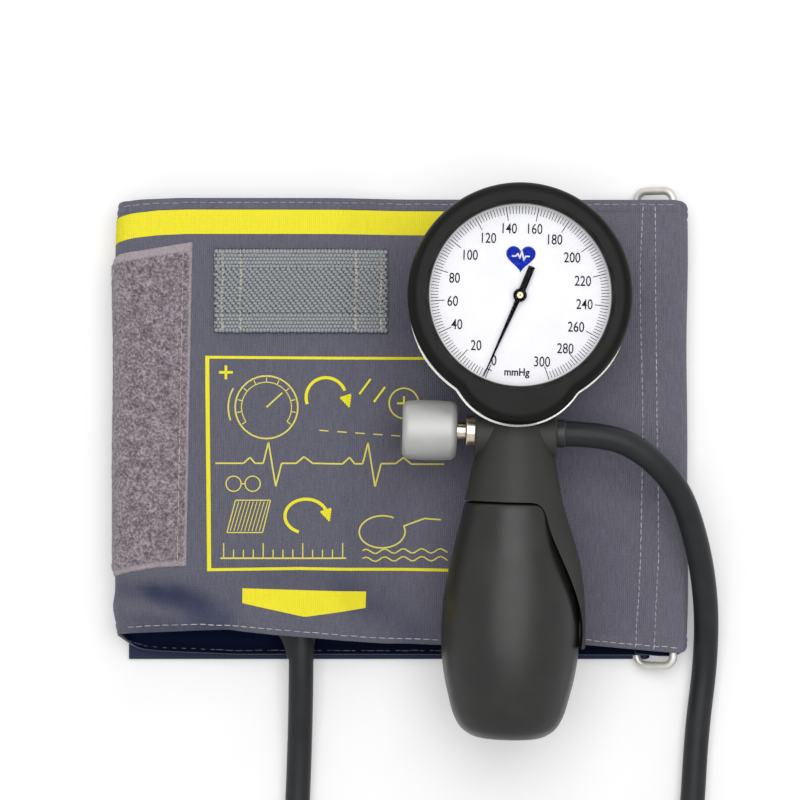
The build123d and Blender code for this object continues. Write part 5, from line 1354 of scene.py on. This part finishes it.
class CUFF_OT_dial(bpy.types.Operator):
    """Print the dial's scale and numbers, and finish the pointer's hub"""

    bl_idname = "cuffgauge.dial"
    bl_label = "Dial"

    def execute(self, context):
        self.scale()
        self.heart(context.scene.collection)
        # The window's inner edge, seen as a thin warm line round the dial
        profile = [(26.9, 0.0), (27.12, 0.0), (27.16, 0.25), (26.95, 0.3)]
        ring = turned("window_line", profile, 160, closed=True)
        settle(ring, "base", material("window brown"), on_unit(0, 0, LENS_TOP_Z + 0.02))
        self.pointer_hub()
        return {"FINISHED"}

    def scale(self):
        """The ticks from 0 to 300 in steps of 2, the numbers and the unit."""
        ink = material("dial ink")
        places = []
        for step in range(151):
            length, width = (4.1, 0.26) if step % 10 == 0 else (2.3, 0.2)
            places.append(on_unit(0, 0, DIAL_FACE_Z + 0.02)
                          @ Matrix.Rotation(radians(SCALE_START - SCALE_SWEEP / 150 * step), 4, "Z")
                          @ Matrix.Translation(((TICK_RADIUS - length / 2) * MM, 0, 0))
                          @ Matrix.Diagonal((length, width, 1, 1)))
        settle(copies("dial_ticks", flat_plate(DIAL_INK_THICK), places), "base", ink)
        numbers = [(-7.71, -19.5), (-13.01, -15.0), (-18.69, -8.76), (-19.97, -1.85), (-19.4, 5.02),
                   (-14.91, 11.83), (-9.47, 16.85), (-3.31, 19.69), (4.26, 19.55), (10.18, 16.38),
                   (15.52, 11.03), (18.69, 4.07), (19.17, -2.84), (16.66, -9.56), (13.49, -15.95),
                   (6.53, -19.88)]
        words = [(str(20 * step), place, 4.3, 0.78, 0.04) for step, place in enumerate(numbers)]
        parts = []
        for text, place, size, narrow, weight in words + [("mmHg", (-0.95, -22.9), 3.1, 0.9, 0.09)]:
            bpy.ops.object.select_all(action="DESELECT")
            bpy.ops.object.text_add()
            word = bpy.context.object.data
            word.body = text
            word.size = size * MM
            word.align_x = "CENTER"
            word.align_y = "CENTER"
            word.extrude = DIAL_INK_THICK / 2 * MM
            word.offset = weight * MM
            word.resolution_u = 4
            bpy.ops.object.convert(target="MESH")
            turned_back = Matrix.Rotation(radians(UNIT_TURN), 2) @ Vector(place)
            parts.append(bpy.context.object)
            parts[-1].data.transform(on_unit(turned_back.x, turned_back.y, DIAL_FACE_Z + 0.03)
                                     @ Matrix.Diagonal((narrow, 1, 1, 1)))
        settle(joined("dial_numbers", parts), "base", ink)

    def heart(self, collection):
        """A plain heart with a pulse line, generic for the kind."""
        outline = bpy.data.curves.new("dial_heart", "CURVE")
        outline.dimensions = "2D"
        outline.fill_mode = "BOTH"
        outline.extrude = DIAL_INK_THICK / 2 * MM
        spline = outline.splines.new("POLY")
        spline.points.add(HEART_POINTS - 1)
        for point, turn in zip(spline.points, evenly(0, 2 * pi, HEART_POINTS)):
            x = 16 * sin(turn) ** 3
            y = 13 * cos(turn) - 5 * cos(2 * turn) - 2 * cos(3 * turn) - cos(4 * turn)
            point.co = (x * HEART_SIZE * MM, y * HEART_SIZE * MM, 0, 1)
        spline.use_cyclic_u = True
        heart = bpy.data.objects.new("dial_heart", outline)
        collection.objects.link(heart)
        select_only(heart)
        bpy.ops.object.convert(target="MESH")
        settle(bpy.context.object, "base", material("mark blue"),
               on_unit(0, 11.3, DIAL_FACE_Z + 0.03))
        trace = [(-2.5, 0), (-1.5, 0), (-0.9, 0.8), (-0.3, -0.6), (0.3, 1.6), (0.9, -1.2), (1.4, 0), (2.5, 0)]
        strokes = []
        for start, end in zip(trace, trace[1:]):
            run = Vector(end) - Vector(start)
            middle = (Vector(start) + Vector(end)) / 2
            strokes.append(flat_plate(DIAL_INK_THICK))
            strokes[-1].data.transform(on_unit(middle.x, 11.6 + middle.y, DIAL_FACE_Z + 0.04)
                                       @ Matrix.Rotation(atan2(run.y, run.x), 4, "Z")
                                       @ Matrix.Diagonal((run.length + 0.3, 0.42, 1, 1)))
        settle(joined("dial_pulse", strokes), "base", material("dial white"))

    def pointer_hub(self):
        """The pointer's brass boss with its dark dot, its counterweight's bar and the cross near its tip."""
        place = on_unit(0, 0, DIAL_FACE_Z + 1.7)
        profile = [(0, 0), (0.95, 0), (0.95, 0.3), (0.82, 0.42), (0.35, 0.42), (0.3, 0.28), (0, 0.28)]
        boss = turned("pointer_boss", profile, 32)
        settle(boss, "pointer", material("brass"), place)
        plates = []
        for middle, length, width in ((-5.2, 8.0, 2.0), (23.9, 0.3, 1.8)):
            plates.append(flat_plate(0.06))
            plates[-1].data.transform(place @ Matrix.Rotation(radians(SCALE_START), 4, "Z")
                                      @ Matrix.Translation((middle * MM, 0, 0))
                                      @ Matrix.Diagonal((length, width, 1, 1)))
        settle(joined("pointer_plates", plates), "pointer", material("pointer black"))
        dot = turned("pointer_dot", [(0, 0.3), (0.24, 0.3), (0.24, 0.4), (0.18, 0.44), (0, 0.44)], 20)
        settle(dot, "pointer", material("pointer black"), place)


class CUFF_OT_bulb(bpy.types.Operator):
    """Spin the soft bulb, with the groove next to its neck and its flat foot"""

    bl_idname = "cuffgauge.bulb"
    bl_label = "Bulb"

    def execute(self, context):
        neck = eased([(10.2, 48.6), (11.3, 53.5), (12.9, 58.6)], 5)
        groove = [(12.3, 59.0), (11.9, 59.4), (11.9, 61.2), (12.4, 61.6)]
        outside = eased([(13.7, 61.8), (14.7, 62.6), (15.75, 67.2), (17.5, 75.35), (20.0, 88.2),
                         (20.7, 101.2), (19.8, 112.05), (17.5, 122.0), (16.2, 125.9), (14.4, 129.0),
                         (12.0, 130.9), (9.6, 131.9), (6.6, 132.2)], 6)
        inside = eased([(9.0, 127.8), (12.5, 126.3), (15.1, 122.0), (17.4, 112.05), (18.3, 101.2),
                        (17.6, 88.2), (15.1, 75.35), (7.0, 62.6)], 5)
        profile = neck + groove + outside + [(6.45, 132.2), (6.45, 131.0), (5.05, 131.0), (5.05, 127.8)]
        profile += inside + [(4.66, 62.6), (4.66, 48.6)]
        bulb = turned("bulb_skin", profile, 128, closed=True)
        settle(bulb, "base", material("bulb rubber"), DOWN_HANDLE)
        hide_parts("bulb")
        return {"FINISHED"}


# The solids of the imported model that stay, by their finish
SOLIDS = {
    "nickel wire": ["cuff_ring"],
    "socket plastic": ["bladder_port", "hose_connector"],
    "case metal": ["gauge_case", "manifold", "manifold_nut"],
    "trim metal": ["trim_band"],
    "guard rubber": ["bezel_guard"],
    "dial white": ["dial_plate"],
    "lens ring black": ["lens_ring"],
    "lens clear": ["lens"],
    "pointer black": ["pointer"],
    "steel": ["pinion_arbor", "hairspring", "case_screws", "rocking_lever", "bulb_washer", "intake_filter"],
    "brass": ["sector_gear", "movement_plate_lower", "movement_plate_upper", "hairspring_stud",
              "plate_pillars", "movement_posts", "capsule", "capsule_post", "capsule_stud", "pressure_tube",
              "outlet_valve_cage"],
    "handle plastic": ["handle_shell"],
    "collar nickel": ["valve_collar", "valve_needle", "intake_valve_body"],
    "flap rubber": ["valve_seal", "outlet_valve_disc", "intake_valve_disc"],
    "knob metal": ["valve_knob"],
}


class CUFF_OT_finishes(bpy.types.Operator):
    """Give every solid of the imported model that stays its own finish"""

    bl_idname = "cuffgauge.finishes"
    bl_label = "Finishes"

    def execute(self, context):
        for finish, names in SOLIDS.items():
            for name in names:
                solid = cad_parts[name]
                if not solid.material_slots:
                    solid.data.materials.append(None)
                for slot in solid.material_slots:
                    slot.material = material(finish)
        return {"FINISHED"}


STEPS = [CUFF_OT_camera, CUFF_OT_hose, CUFF_OT_stage, CUFF_OT_cloth, CUFF_OT_prints, CUFF_OT_patches,
         CUFF_OT_stitches, CUFF_OT_dial, CUFF_OT_bulb, CUFF_OT_finishes]


class CUFF_PT_panel(bpy.types.Panel):
    """The cuff and gauge's pieces, and the sizes and colours of their finish"""

    bl_idname = "CUFF_PT_panel"
    bl_label = "Palm Gauge and Arm Cuff"
    bl_space_type = "VIEW_3D"
    bl_region_type = "UI"
    bl_category = "Arm Cuff"

    def draw(self, context):
        for group in (context.scene.cuff_look, context.scene.camera_look):
            for name in group.bl_rna.properties.keys():
                if name not in ("rna_type", "name"):
                    self.layout.prop(group, name)
        for step in STEPS:
            self.layout.operator(step.bl_idname)


def register():
    for kind in [CuffLook, CameraLook, *STEPS, CUFF_PT_panel]:
        bpy.utils.register_class(kind)
    bpy.types.Scene.cuff_look = PointerProperty(type=CuffLook)
    bpy.types.Scene.camera_look = PointerProperty(type=CameraLook)


def unregister():
    del bpy.types.Scene.camera_look
    del bpy.types.Scene.cuff_look
    for kind in reversed([CuffLook, CameraLook, *STEPS, CUFF_PT_panel]):
        bpy.utils.unregister_class(kind)


def main():
    register()
    canvas_group()
    grain_group()
    for step in STEPS:
        family, name = step.bl_idname.split(".")
        getattr(getattr(bpy.ops, family), name)()


if __name__ == "__main__":
    main()
